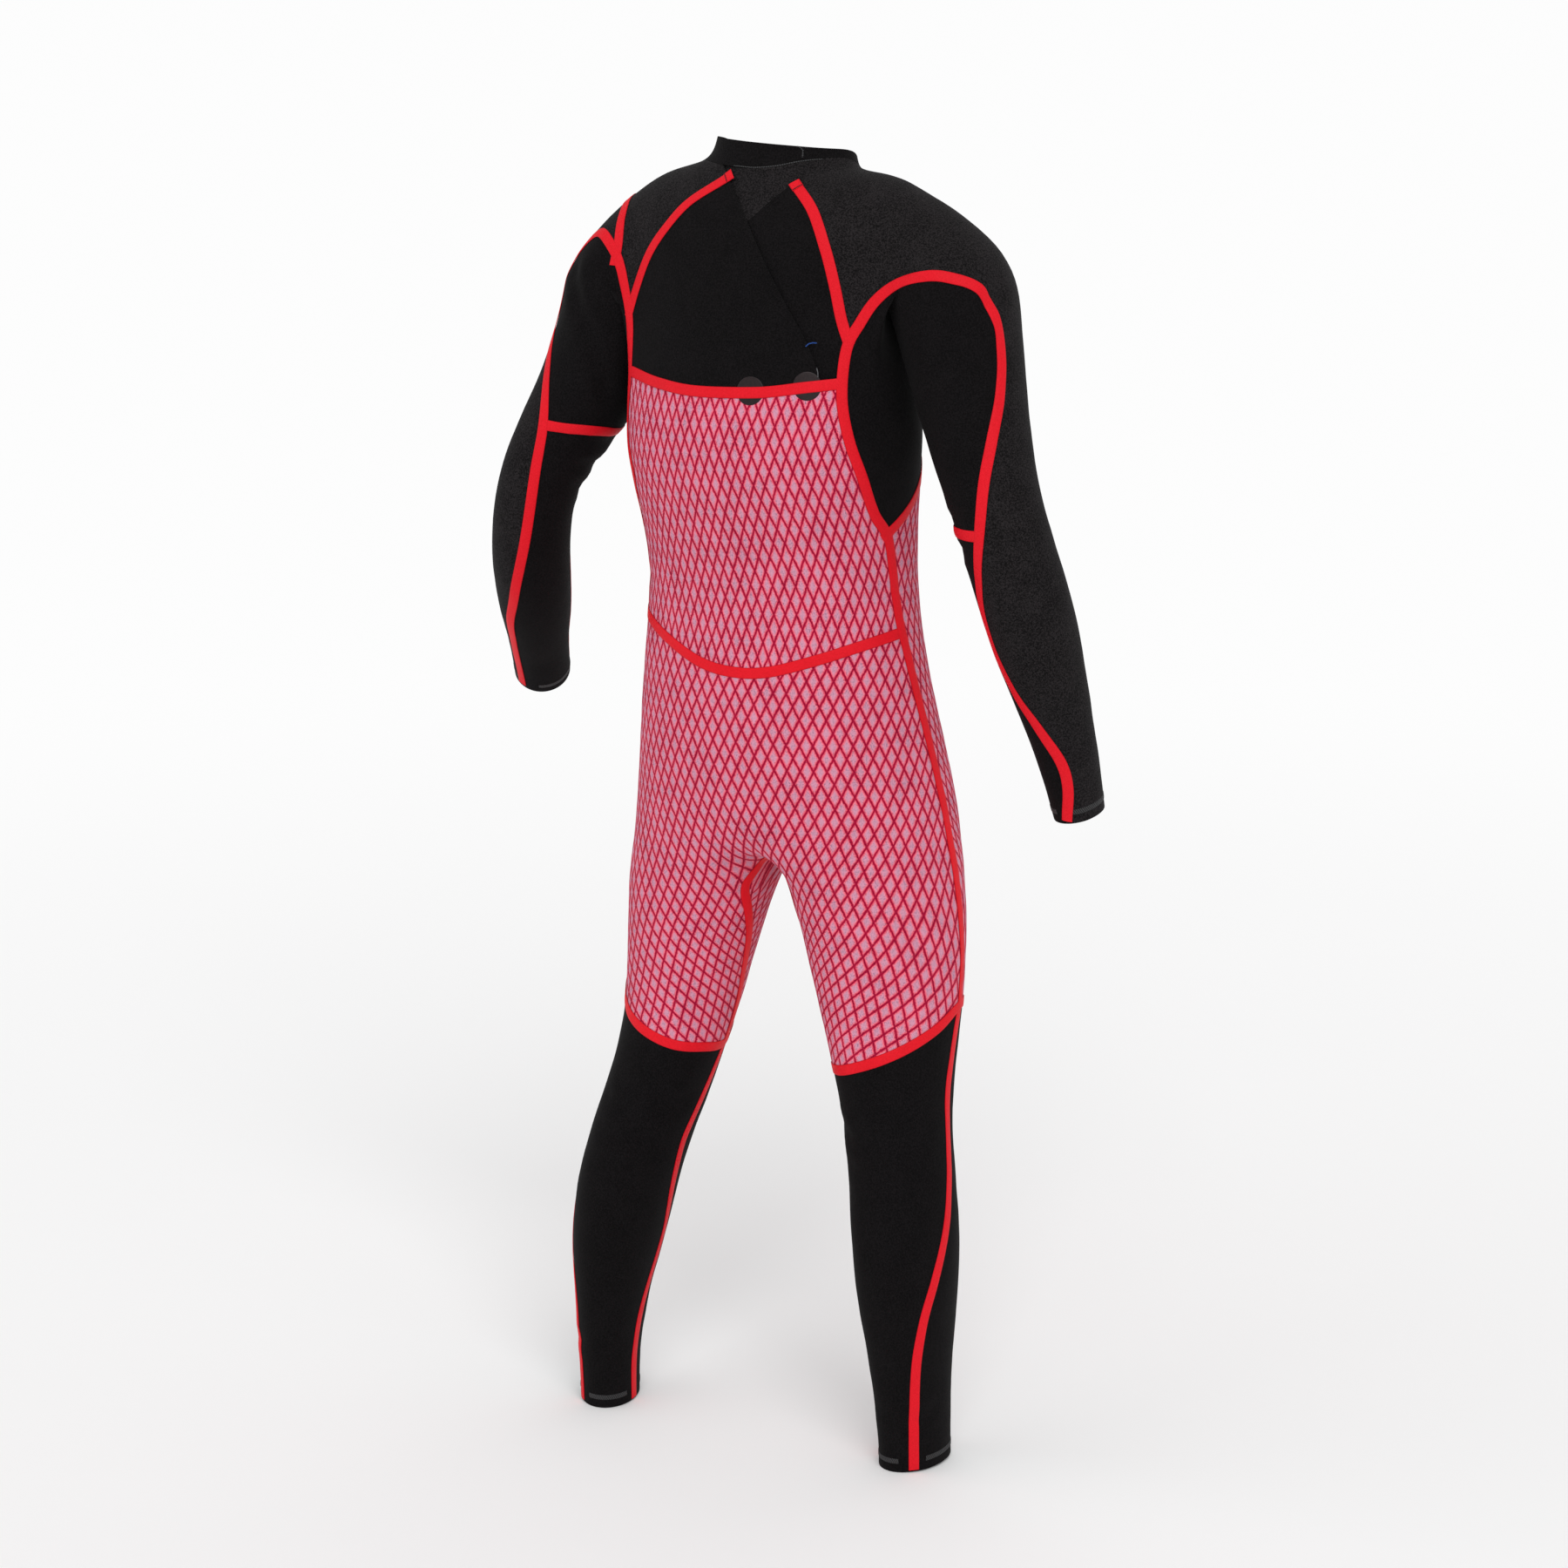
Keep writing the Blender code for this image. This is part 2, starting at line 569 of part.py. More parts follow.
def pull_in_rim(piece, amount):
    """Move the rim of an open piece inwards, square to its edges."""
    moves = {}
    piece.normal_update()
    for vert in piece.verts:
        inward = []
        for edge in vert.link_edges:
            if edge.is_boundary:
                loop = edge.link_loops[0]
                along = loop.link_loop_next.vert.co - loop.vert.co
                inward.append(loop.face.normal.cross(along).normalized())
        if len(inward) == 2:
            corner = max(1 + inward[0].dot(inward[1]), 0.3)
            moves[vert] = (inward[0] + inward[1]) * (amount / corner)
    for vert, move in moves.items():
        vert.co += move


# ---------------------------------------------------------------- the pieces
GARMENT = "steamer_wetsuit"
BLACK = (0.012, 0.012, 0.014)
SHOULDER_BLACK = (0.022, 0.022, 0.025)
LATTICE = (0.72, 0.25, 0.32)
RED = (0.75, 0.02, 0.06)


def cloth(name, colour):
    material = bpy.data.materials.new(name)
    material.use_nodes = True
    surface = material.node_tree.nodes["Principled BSDF"]
    surface.inputs["Base Color"].default_value = (*colour, 1)
    surface.inputs["Roughness"].default_value = 0.85
    surface.inputs["Metallic"].default_value = 0.0
    return material


def draw_all(form):
    """Every seam of the garment, by name; each runs through those that come after it."""
    def line(spots, side=1, closed=False):
        return Seam(form, [place(form, spot, side) for spot in spots], closed)

    sides = (("l", 1), ("r", -1))
    seams = {"collar": line(COLLAR_SEAM, closed=True)}
    for suffix, side in sides:
        seams["thigh_" + suffix] = line(THIGH, side, closed=True)
    for suffix, side in sides:
        seams["flank_" + suffix] = line(SIDE + SLEEVE_BACK[side], side)
    for suffix, side in sides:
        seams["sleeve_" + suffix] = line(SLEEVE_FRONT + WRIST_FRONT[side], side)
    seams["chest_back"] = line(CHEST_BACK)
    seams["chest_front"] = line(CHEST_FRONT)
    seams["lap"] = line(LAP_EDGE)
    for suffix, side in sides:
        seams["raglan_back_" + suffix] = line(RAGLAN_BACK[side], side)
        seams["raglan_front_" + suffix] = line(RAGLAN_FRONT, side)
    seams["under_top"] = line(UNDER_TOP)
    seams["shoulder_l"] = line(SHOULDER_LEFT)
    seams["waist"] = line(WAIST)
    inseam = [place(form, spot, 1) for spot in INSEAM_HALF[::-1]]
    inseam.append(form.ray_cast(Vector((0, INSEAM_BACK, -0.8)), Vector((0, 0, 1)))[0])
    inseam += [place(form, spot, -1) for spot in INSEAM_HALF]
    seams["inseam"] = Seam(form, inseam)
    for suffix, side in sides:
        seams["elbow_" + suffix] = line(ELBOW[side], side)
        seams["shank_outer_" + suffix] = line(SHANK_OUTER, side)
        seams["shank_inner_" + suffix] = line(SHANK_INNER, side)
    return seams


# name, a spot inside the panel, its side and its colour
PANELS = (
    ("collar", Spot("trunk", 180, 0.030), 1, BLACK),
    ("yoke_flap", Spot("back", 0.040, -0.130), 1, BLACK),
    ("shoulder_l", Spot("back", 0.110, -0.030), 1, SHOULDER_BLACK),
    ("sleeve_outer_l", Spot("arm", 90, -0.300), 1, SHOULDER_BLACK),
    ("gusset_l", Spot("arm", 250, -0.200), 1, BLACK),
    ("gusset_r", Spot("arm", 180, -0.200), -1, BLACK),
    ("forearm_l", Spot("arm", 270, -0.420), 1, BLACK),
    ("forearm_r", Spot("arm", 270, -0.480), -1, BLACK),
    ("chest", Spot("front", 0.0, -0.120), 1, BLACK),
    ("back", Spot("back", 0.0, -0.350), 1, LATTICE),
    ("front", Spot("front", 0.0, -0.450), 1, LATTICE),
    ("seat", Spot("back", 0.080, -0.620), 1, LATTICE),
    ("calf_l", Spot("leg", 200, -1.100), 1, BLACK),
    ("calf_r", Spot("leg", 200, -1.100), -1, BLACK),
    ("shin_l", Spot("leg", 0, -1.100), 1, BLACK),
    ("shin_r", Spot("leg", 0, -1.100), -1, BLACK),
)
UNDER_LAP = (
    ("yoke_under", Spot("back", -0.070, -0.110), 1, BLACK),
    ("sleeve_outer_r", Spot("arm", 90, -0.300), -1, SHOULDER_BLACK),
)
UNTAPED = ("collar", "lap", "under_top")


def cut_surface(surface, seams):
    """The form cut along every seam and along the hidden edge of the under layer."""
    for label, seam in enumerate(seams.values(), 1):
        cut_along(surface, seam, 0.0, label)
    cut_along(surface, seams["lap"], -LAP, HIDDEN)
    mark_cuts(surface, seams, ())
    lines = surface.edges.layers.int["line"]
    for edge in surface.edges:
        edge.seam = edge.seam or edge[lines] == HIDDEN
    thin_out(surface, FLAT)
    bmesh.ops.triangulate(surface, faces=surface.faces[:])
    surface.faces.index_update()


def make_panels(surface, form, seams):
    """The panels, then those of the under layer, which reach below the flap."""
    mark_cuts(surface, seams, ("hidden",))
    pick_panels(surface, form, PANELS, lambda vert: 0.0)
    mark_cuts(surface, seams, ("lap",))
    pick_panels(surface, form, UNDER_LAP, lambda vert: sink(seams["lap"], vert.co))


def sink(lap, point):
    """How far the under layer lies below the form beside the flap's edge."""
    station, left, distance = lap.locate(point)
    if not lap.covers(station, RUN_ON) or distance > LAP_EASE + LAP:
        return 0.0
    rise = min(max(left / LAP_EASE, 0.0), 1.0)
    return -(WALL + SEAM_GAP) * (1 - rise * rise * (3 - 2 * rise))


def thin_out(mesh, flat, keep_clear=()):
    """Join the facets that the cuts left nearly flat beside each other."""
    far = [vert for vert in mesh.verts
           if all((vert.co - centre).length > 1.5 * PATCH_RADIUS for centre in keep_clear)]
    chosen = set(far)
    edges = [edge for edge in mesh.edges if all(vert in chosen for vert in edge.verts)]
    bmesh.ops.dissolve_limit(mesh, angle_limit=math.radians(flat), verts=far, edges=edges,
                             delimit={"SEAM"})


def clear_lines(mesh):
    lines = mesh.edges.layers.int["line"]
    for edge in mesh.edges:
        edge[lines] = 0
        edge.seam = False


def refine(mesh, centres):
    """Divide the facets near the drain patches, which are small beside them."""
    near = [edge for edge in mesh.edges
            if any((vert.co - centre).length < 2.2 * PATCH_RADIUS
                   for vert in edge.verts for centre in centres)]
    bmesh.ops.subdivide_edges(mesh, edges=near, cuts=3, use_grid_fill=True)
    bmesh.ops.triangulate(mesh, faces=mesh.faces[:])


def pick_panels(surface, form, panels, level):
    finder = BVHTree.FromBMesh(surface)
    parts = regions(surface)
    surface.faces.ensure_lookup_table()
    for name, spot, side, colour in panels:
        seed = surface.faces[finder.find_nearest(place(form, spot, side))[2]]
        for region in parts:
            if seed in region:
                make_node(name, surface, region, lambda vert: level(vert) - WALL, level, colour)


def pieces_of(faces):
    """Groups of faces that share edges, the largest first."""
    waiting, groups = set(faces), []
    for face in sorted(faces, key=lambda face: face.index):
        if face not in waiting:
            continue
        waiting.discard(face)
        group, front = {face}, [face]
        while front:
            for edge in front.pop().edges:
                for other in edge.link_faces:
                    if other in waiting:
                        waiting.discard(other)
                        group.add(other)
                        front.append(other)
        groups.append(group)
    return sorted(groups, key=lambda group: -sum(face.calc_area() for face in group))


def over_patch(point, centres):
    """How far the tape rises where it passes over a drain patch."""
    reach = min((point - centre).length for centre in centres)
    fall = min(max((reach - PATCH_RADIUS - 0.0012) / 0.004, 0.0), 1.0)
    return (PATCH_THICKNESS + SEAM_GAP) * (1 - fall * fall * (3 - 2 * fall))


def make_tapes(surface, seams, centres):
    """Strips of the form along the seams; where two meet, the one named first runs through."""
    strips = surface.copy()
    refine(strips, centres)
    clear_lines(strips)
    bands = {name: (seam, TAPE_WIDTH / 2) for name, seam in seams.items()
             if name not in UNTAPED}
    for seam, half in bands.values():
        for edge_at in (half, -half):
            cut_along(strips, seam, edge_at, 1, SNAP / 3)
    lines = strips.edges.layers.int["line"]
    for edge in strips.edges:
        edge.seam = edge[lines] > 0
    thin_out(strips, EVEN, centres)
    strips.faces.index_update()
    taken = set()
    for name, (seam, half) in bands.items():
        strip = set()
        for face in strips.faces:
            station, left, distance = seam.locate(face.calc_center_median())
            if (abs(left) < half and distance < half + SAG and face not in taken
                    and seam.covers(station)):
                strip.add(face)
        taken |= strip
        make_node("tape_" + name, strips, pieces_of(strip)[0],
                  lambda vert: SEAM_GAP + over_patch(vert.co, centres),
                  lambda vert: SEAM_GAP + TAPE_THICKNESS + over_patch(vert.co, centres), RED)
    strips.free()


def make_patches(surface, form, centres):
    """Two round patches under the tape of the chest seam behind."""
    for name, centre in zip(("patch_l", "patch_r"), centres):
        sheet = surface.copy()
        refine(sheet, [centre])
        clear_lines(sheet)
        normal = form.find_nearest(centre)[1]
        across = normal.cross(Vector((0, 0, 1))).normalized()
        rise = across.cross(normal)
        knots = []
        for step in range(12):
            angle = math.tau * step / 12
            aim = across * math.cos(angle) + rise * math.sin(angle)
            knots.append(form.find_nearest(centre + aim * PATCH_RADIUS)[0])
        ring = Seam(form, knots, closed=True)
        cut_along(sheet, ring, 0.0, 1, SNAP / 3)
        outside = [face for face in sheet.faces
                   if (face.calc_center_median() - centre).length > PATCH_RADIUS]
        bmesh.ops.delete(sheet, geom=outside, context="FACES")
        thin_out(sheet, EVEN)
        sheet.faces.index_update()
        make_node(name, sheet, sheet.faces[:], lambda vert: SEAM_GAP,
                  lambda vert: SEAM_GAP + PATCH_THICKNESS, BLACK)
        sheet.free()


def main():
    for leftover in list(bpy.data.objects):
        bpy.data.objects.remove(leftover)
    garment = bpy.data.collections.new(GARMENT)
    bpy.context.scene.collection.children.link(garment)
    surface = smooth_form(1)
    surface.normal_update()
    out = surface.verts.layers.float_vector.new("out")
    for vert in surface.verts:
        vert[out] = vert.normal
    surface.edges.layers.int.new("line")
    bmesh.ops.triangulate(surface, faces=surface.faces[:])
    form = BVHTree.FromBMesh(surface)
    seams = draw_all(form)
    cut_surface(surface, seams)
    make_panels(surface, form, seams)
    centres = [place(form, spot, 1) for spot in DRAINS]
    make_tapes(surface, seams, centres)
    make_patches(surface, form, centres)
    surface.free()


if __name__ == "__main__":
    main()
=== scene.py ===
"""Steamer wetsuit, turned lining side out: its cloth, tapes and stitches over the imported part."""
import json
import math
from bisect import bisect
from collections import namedtuple

import bmesh
import bpy
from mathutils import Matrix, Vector, noise
from mathutils.bvhtree import BVHTree
from mathutils.kdtree import KDTree

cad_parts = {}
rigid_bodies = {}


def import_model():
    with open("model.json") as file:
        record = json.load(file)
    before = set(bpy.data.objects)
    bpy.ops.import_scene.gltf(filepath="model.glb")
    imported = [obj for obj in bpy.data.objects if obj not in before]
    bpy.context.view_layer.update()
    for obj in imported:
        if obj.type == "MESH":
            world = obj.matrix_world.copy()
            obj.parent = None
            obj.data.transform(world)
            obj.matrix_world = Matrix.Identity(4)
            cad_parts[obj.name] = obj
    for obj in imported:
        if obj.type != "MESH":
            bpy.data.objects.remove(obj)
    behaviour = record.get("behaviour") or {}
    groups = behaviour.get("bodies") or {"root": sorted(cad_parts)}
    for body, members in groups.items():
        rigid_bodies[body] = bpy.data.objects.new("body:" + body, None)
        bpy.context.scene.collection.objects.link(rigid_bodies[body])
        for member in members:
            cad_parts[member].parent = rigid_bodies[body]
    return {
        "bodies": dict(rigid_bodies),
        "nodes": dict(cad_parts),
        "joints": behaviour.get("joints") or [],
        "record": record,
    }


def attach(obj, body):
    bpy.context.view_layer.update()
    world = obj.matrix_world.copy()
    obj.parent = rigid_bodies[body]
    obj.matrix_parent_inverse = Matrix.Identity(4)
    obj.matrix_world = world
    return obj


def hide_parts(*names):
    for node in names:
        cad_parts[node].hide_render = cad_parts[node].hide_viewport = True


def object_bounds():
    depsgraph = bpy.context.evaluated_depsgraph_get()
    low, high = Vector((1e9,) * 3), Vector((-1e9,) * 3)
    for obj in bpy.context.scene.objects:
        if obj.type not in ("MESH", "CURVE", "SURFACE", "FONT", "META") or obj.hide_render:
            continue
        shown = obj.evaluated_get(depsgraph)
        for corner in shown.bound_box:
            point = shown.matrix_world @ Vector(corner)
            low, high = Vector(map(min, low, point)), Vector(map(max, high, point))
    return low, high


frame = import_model()
cad_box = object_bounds()

# ---------------------------------------------------------------- driving dimensions
WALL = 0.0025            # foam rubber with its knitted faces
SEAM_GAP = 0.0003        # between neighbouring panels, and under all that lies on them
TAPE_WIDTH = 0.0115
LAP = 0.016              # how far the under layer of the yoke reaches below the flap
LAP_EASE = 0.032         # over this width it rises again to the level of its own panel
PATCH_RADIUS = 0.0145
FINENESS = 3             # how often the cage is divided

# ---------------------------------------------------------------- worn form
# Rows of the trunk run up from the split of the legs to the collar's rim. Each row is an oval:
# its height at the side, front and back, then its half width, its reach to the front and back
# from its own middle, how far back that middle sits, and how much higher its left end is.
TrunkRow = namedtuple("TrunkRow", "side_z front_z back_z half_width front back shift lift")
TRUNK = (
    TrunkRow(-0.655, -0.655, -0.655, 0.186, 0.110, 0.128, -0.030, 0),
    TrunkRow(-0.590, -0.590, -0.590, 0.175, 0.108, 0.128, -0.020, 0),
    TrunkRow(-0.525, -0.525, -0.525, 0.165, 0.105, 0.115, -0.006, 0),
    TrunkRow(-0.465, -0.465, -0.465, 0.156, 0.103, 0.103, 0.002, 0),
    TrunkRow(-0.405, -0.405, -0.405, 0.149, 0.103, 0.105, 0.001, 0),
    TrunkRow(-0.345, -0.345, -0.345, 0.153, 0.108, 0.112, 0.011, 0),
    TrunkRow(-0.285, -0.285, -0.285, 0.164, 0.112, 0.118, 0.026, 0),
    TrunkRow(-0.228, -0.225, -0.220, 0.164, 0.115, 0.118, 0.022, 0),
    TrunkRow(-0.122, -0.155, -0.150, 0.160, 0.108, 0.112, 0.014, 0),
    TrunkRow(0.000, -0.095, -0.080, 0.166, 0.088, 0.102, 0.008, 0),
    TrunkRow(0.018, -0.058, -0.026, 0.122, 0.074, 0.082, 0.000, 0.003),
    TrunkRow(0.018, -0.035, 0.012, 0.080, 0.066, 0.068, -0.005, 0.004),
    TrunkRow(0.040, -0.006, 0.040, 0.075, 0.062, 0.063, -0.007, 0.007),
)
TRUNK_COLUMNS = 12
ARMHOLE_COLUMNS = (2, 3, 4)      # left side; the right side mirrors them
ARMHOLE_ROWS = (7, 8, 9)

# Sections of a limb run down from the body: distance out from the middle, distance back, height,
# the long and short half size, and the turn of the long one from straight ahead towards outside.
LimbRow = namedtuple("LimbRow", "out back z long short turn")
RIGHT_ARM = (
    LimbRow(0.194, 0.014, -0.080, 0.074, 0.068, 0),
    LimbRow(0.212, 0.020, -0.150, 0.067, 0.062, 0),
    LimbRow(0.227, 0.028, -0.208, 0.060, 0.056, 0),
    LimbRow(0.245, 0.038, -0.262, 0.053, 0.051, 0),
    LimbRow(0.266, 0.046, -0.322, 0.047, 0.045, 0),
    LimbRow(0.287, 0.042, -0.385, 0.050, 0.046, 0),
    LimbRow(0.302, 0.028, -0.450, 0.049, 0.045, 0),
    LimbRow(0.315, 0.010, -0.515, 0.041, 0.037, 0),
    LimbRow(0.327, -0.006, -0.578, 0.033, 0.030, 0),
    LimbRow(0.334, -0.020, -0.636, 0.031, 0.026, 0),
)
LEFT_ARM = (
    LimbRow(0.174, 0.014, -0.090, 0.074, 0.064, 0),
    LimbRow(0.190, 0.020, -0.152, 0.067, 0.061, 0),
    LimbRow(0.214, 0.028, -0.208, 0.060, 0.055, 0),
    LimbRow(0.246, 0.040, -0.262, 0.052, 0.047, 0),
    LimbRow(0.277, 0.050, -0.318, 0.046, 0.043, 0),
    LimbRow(0.295, 0.036, -0.380, 0.047, 0.042, 0),
    LimbRow(0.312, 0.006, -0.432, 0.045, 0.042, 0),
    LimbRow(0.332, -0.032, -0.476, 0.040, 0.038, 0),
    LimbRow(0.354, -0.072, -0.517, 0.033, 0.033, 0),
    LimbRow(0.375, -0.110, -0.556, 0.032, 0.032, 0),
)
LEG = (
    LimbRow(0.107, -0.014, -0.735, 0.094, 0.080, 50),
    LimbRow(0.118, -0.012, -0.795, 0.088, 0.074, 48),
    LimbRow(0.126, -0.008, -0.860, 0.080, 0.066, 42),
    LimbRow(0.135, 0.002, -0.925, 0.070, 0.059, 30),
    LimbRow(0.147, 0.018, -0.985, 0.061, 0.055, 15),
    LimbRow(0.162, 0.036, -1.040, 0.062, 0.054, 10),
    LimbRow(0.173, 0.050, -1.100, 0.068, 0.054, 8),
    LimbRow(0.180, 0.058, -1.160, 0.065, 0.049, 8),
    LimbRow(0.186, 0.062, -1.225, 0.054, 0.039, 12),
    LimbRow(0.190, 0.062, -1.290, 0.046, 0.033, 16),
    LimbRow(0.191, 0.060, -1.345, 0.045, 0.032, 18),
)
CROTCH_Z = -0.690                # underside of the body between the legs
CROTCH_DEPTH = (-0.062, -0.005, 0.055)


def swell(columns):
    """How much wider a ring of the cage is than the smooth ring that it gives."""
    return 3 / (2 + math.cos(math.tau / columns))


def trunk_point(row, column):
    """A point of the cage; column 0 is the front middle and they run to the wearer's left."""
    angle = math.tau * column / TRUNK_COLUMNS
    ahead, out = math.cos(angle), math.sin(angle)
    reach = row.front if ahead > 0 else row.back
    end_z = row.front_z if ahead > 0 else row.back_z
    grow = swell(TRUNK_COLUMNS)
    return Vector((
        row.half_width * out * grow,
        row.shift - reach * ahead * grow,
        row.side_z + (end_z - row.side_z) * ahead * ahead + row.lift * out,
    ))


def limb_frames(rows, side):
    """Centre, direction ahead and direction out for every section of a limb."""
    centres = [Vector((side * row.out, row.back, row.z)) for row in rows]
    frames = []
    for index, row in enumerate(rows):
        below = centres[min(index + 1, len(rows) - 1)]
        above = centres[max(index - 1, 0)]
        down = (below - above).normalized()
        out = Vector((side, 0, 0))
        out = (out - down * out.dot(down)).normalized()
        ahead = down.cross(out) * side
        frames.append((centres[index], ahead, out))
    return frames


def limb_ring(row, frame, angles):
    """Points of one section; angle 0 is ahead, a quarter turn is out."""
    centre, ahead, out = frame
    turn = math.radians(row.turn)
    grow = swell(len(angles))
    points = []
    for angle in angles:
        along = row.long * math.cos(angle - turn) * grow
        across = row.short * math.sin(angle - turn) * grow
        step_ahead = along * math.cos(turn) - across * math.sin(turn)
        step_out = along * math.sin(turn) + across * math.cos(turn)
        points.append(centre + ahead * step_ahead + out * step_out)
    return points


def bridge(mesh, upper, lower, side):
    """Quads between two rings of the same count."""
    count = len(upper)
    for i in range(count):
        j = (i + 1) % count
        corners = (upper[i], lower[i], lower[j], upper[j])
        mesh.faces.new(corners if side > 0 else corners[::-1])


# ---------------------------------------------------------------- how the cloth was cut
# Every face of the cage is given its place in the flat cloth: across from the middle line
# behind or in front, and down. On the thighs the cloth turns outwards with the legs.
THIGH_TURN = math.radians(33)
THIGH_TURN_LENGTH = 0.22
THREAD_TOP = TRUNK[0].side_z
LEG_COLUMNS = 10
INSEAM_BEARING = 252             # degrees round a leg at which its two maps begin
MAP_EDGE = 72                    # degrees that a map reaches past the inseam
THIGH_START = 0.08               # way down the cloth from THREAD_TOP to a leg's first section
THIGH_BEHIND, THIGH_AHEAD = 0.123, 0.137     # way across the cloth to the middle of a thigh
CROTCH_BEHIND = (0.17, 0.11, 0.05)           # way down to each point between the legs
CROTCH_AHEAD = (0.05, 0.11, 0.17)


def girth_to(row, column, middle):
    """Way along the smooth ring of a trunk row from its middle column to another column."""
    steps = 6 * abs(column - middle)
    reach, last = 0.0, None
    for step in range(steps + 1):
        angle = math.tau * (middle + (column - middle) * step / max(steps, 1)) / TRUNK_COLUMNS
        depth = row.front if math.cos(angle) > 0 else row.back
        point = Vector((row.half_width * math.sin(angle), -depth * math.cos(angle)))
        if last is not None:
            reach += (point - last).length
        last = point
    return reach


def thigh_thread(around, middle, down):
    """Place in the flat cloth of a point of a leg, from its way round and down."""
    turn, across, drop, steps = 0.0, middle, 0.0, 24
    for step in range(steps):
        part = min((step + 0.5) / steps * down / THIGH_TURN_LENGTH, 1.0)
        turn = THIGH_TURN * part * part * (3 - 2 * part)
        across += math.sin(turn) * down / steps
        drop += math.cos(turn) * down / steps
    aside = around - middle
    return across + aside * math.cos(turn), THREAD_TOP - drop + aside * math.sin(turn)


def lay_thread(mesh, trunk, middle, legs):
    """Give the cage its two thread maps, one for the cloth behind and one for that in front."""
    threads = {"behind": {}, "ahead": {}}
    half = TRUNK_COLUMNS // 2
    for row, ring in zip(TRUNK, trunk):
        for column, vert in enumerate(ring):
            near = min(column, TRUNK_COLUMNS - column)
            threads["behind"][vert] = (girth_to(row, near, half), vert.co.z)
            threads["ahead"][vert] = (girth_to(row, near, 0), vert.co.z)
    for vert, back, front in zip(middle, CROTCH_BEHIND, CROTCH_AHEAD):
        threads["behind"][vert] = (0.0, THREAD_TOP - back)
        threads["ahead"][vert] = (0.0, THREAD_TOP - front)
    for rings in legs:
        down = THIGH_START
        for index, ring in enumerate(rings):
            if index:
                step = LEG[index]
                last = LEG[index - 1]
                down += math.dist((step.out, step.back, step.z), (last.out, last.back, last.z))
            radius = (LEG[index].long + LEG[index].short) / 2
            for corner, vert in enumerate(ring):
                past = 360 // LEG_COLUMNS * (corner - 1) - INSEAM_BEARING
                behind = math.radians((MAP_EDGE - past) % 360 - MAP_EDGE) * radius
                ahead = math.radians((MAP_EDGE + past) % 360 - MAP_EDGE) * radius
                threads["behind"][vert] = thigh_thread(behind, THIGH_BEHIND, down)
                threads["ahead"][vert] = thigh_thread(ahead, THIGH_AHEAD, down)
    for name, places in threads.items():
        layer = mesh.loops.layers.uv.new(name)
        for face in mesh.faces:
            side = 1 if face.calc_center_median().x > 0 else -1
            for loop in face.loops:
                across, down = places.get(loop.vert, (0.0, 0.0))
                loop[layer].uv = (side * across, down)


def make_cage():
    """The coarse cage of the garment: trunk, two arms and two legs, open at its five ends."""
    mesh = bmesh.new()
    trunk = [[mesh.verts.new(trunk_point(row, column)) for column in range(TRUNK_COLUMNS)]
             for row in TRUNK]
    for level in range(len(TRUNK) - 1):
        for column in range(TRUNK_COLUMNS):
            after = (column + 1) % TRUNK_COLUMNS
            in_hole = ARMHOLE_ROWS[0] <= level < ARMHOLE_ROWS[-1]
            mirrored = TRUNK_COLUMNS - 1 - column
            if in_hole and (column in ARMHOLE_COLUMNS[:2] or mirrored in ARMHOLE_COLUMNS[:2]):
                continue
            mesh.faces.new((trunk[level][column], trunk[level][after],
                            trunk[level + 1][after], trunk[level + 1][column]))
    middle = [mesh.verts.new((0, y, CROTCH_Z)) for y in CROTCH_DEPTH]
    legs = []
    for side, arm in ((1, LEFT_ARM), (-1, RIGHT_ARM)):
        add_arm(mesh, trunk, arm, side)
        legs.append(add_leg(mesh, trunk, middle, side))
    lay_thread(mesh, trunk, middle, legs)
    unused = [vert for vert in mesh.verts if not vert.link_faces]
    bmesh.ops.delete(mesh, geom=unused, context="VERTS")
    return mesh


def add_arm(mesh, trunk, rows, side):
    low, centre, top = ARMHOLE_ROWS
    front, mid, back = ARMHOLE_COLUMNS
    # from the front, over the top, down the back and under the arm
    rim = ((centre, front), (top, front), (top, mid), (top, back),
           (centre, back), (low, back), (low, mid), (low, front))
    upper = [trunk[level][side * column % TRUNK_COLUMNS] for level, column in rim]
    angles = [math.tau * i / len(rim) for i in range(len(rim))]
    for row, frame in zip(rows, limb_frames(rows, side)):
        lower = [mesh.verts.new(point) for point in limb_ring(row, frame, angles)]
        bridge(mesh, upper, lower, side)
        upper = lower


def add_leg(mesh, trunk, middle, side):
    half = TRUNK_COLUMNS // 2
    outer = [trunk[0][side * column % TRUNK_COLUMNS] for column in range(half + 1)]
    upper = outer + middle[::-1]
    first = -math.tau / len(upper)
    angles = [first + math.tau * i / len(upper) for i in range(len(upper))]
    rings = []
    for row, frame in zip(LEG, limb_frames(LEG, side)):
        lower = [mesh.verts.new(point) for point in limb_ring(row, frame, angles)]
        bridge(mesh, upper, lower, side)
        upper = lower
        rings.append(lower)
    return rings


def smooth_form():
    """The smooth surface of the cage, with its thread maps."""
    cage = make_cage()
    data = bpy.data.meshes.new("form")
    cage.to_mesh(data)
    cage.free()
    form = bpy.data.objects.new("form", data)
    bpy.context.scene.collection.objects.link(form)
    rounding = form.modifiers.new("rounding", "SUBSURF")
    rounding.levels = rounding.render_levels = FINENESS
    rounding.uv_smooth = "PRESERVE_BOUNDARIES"
    result = bmesh.new()
    result.from_object(form, bpy.context.evaluated_depsgraph_get())
    bpy.data.objects.remove(form)
    bpy.data.meshes.remove(data)
    return result


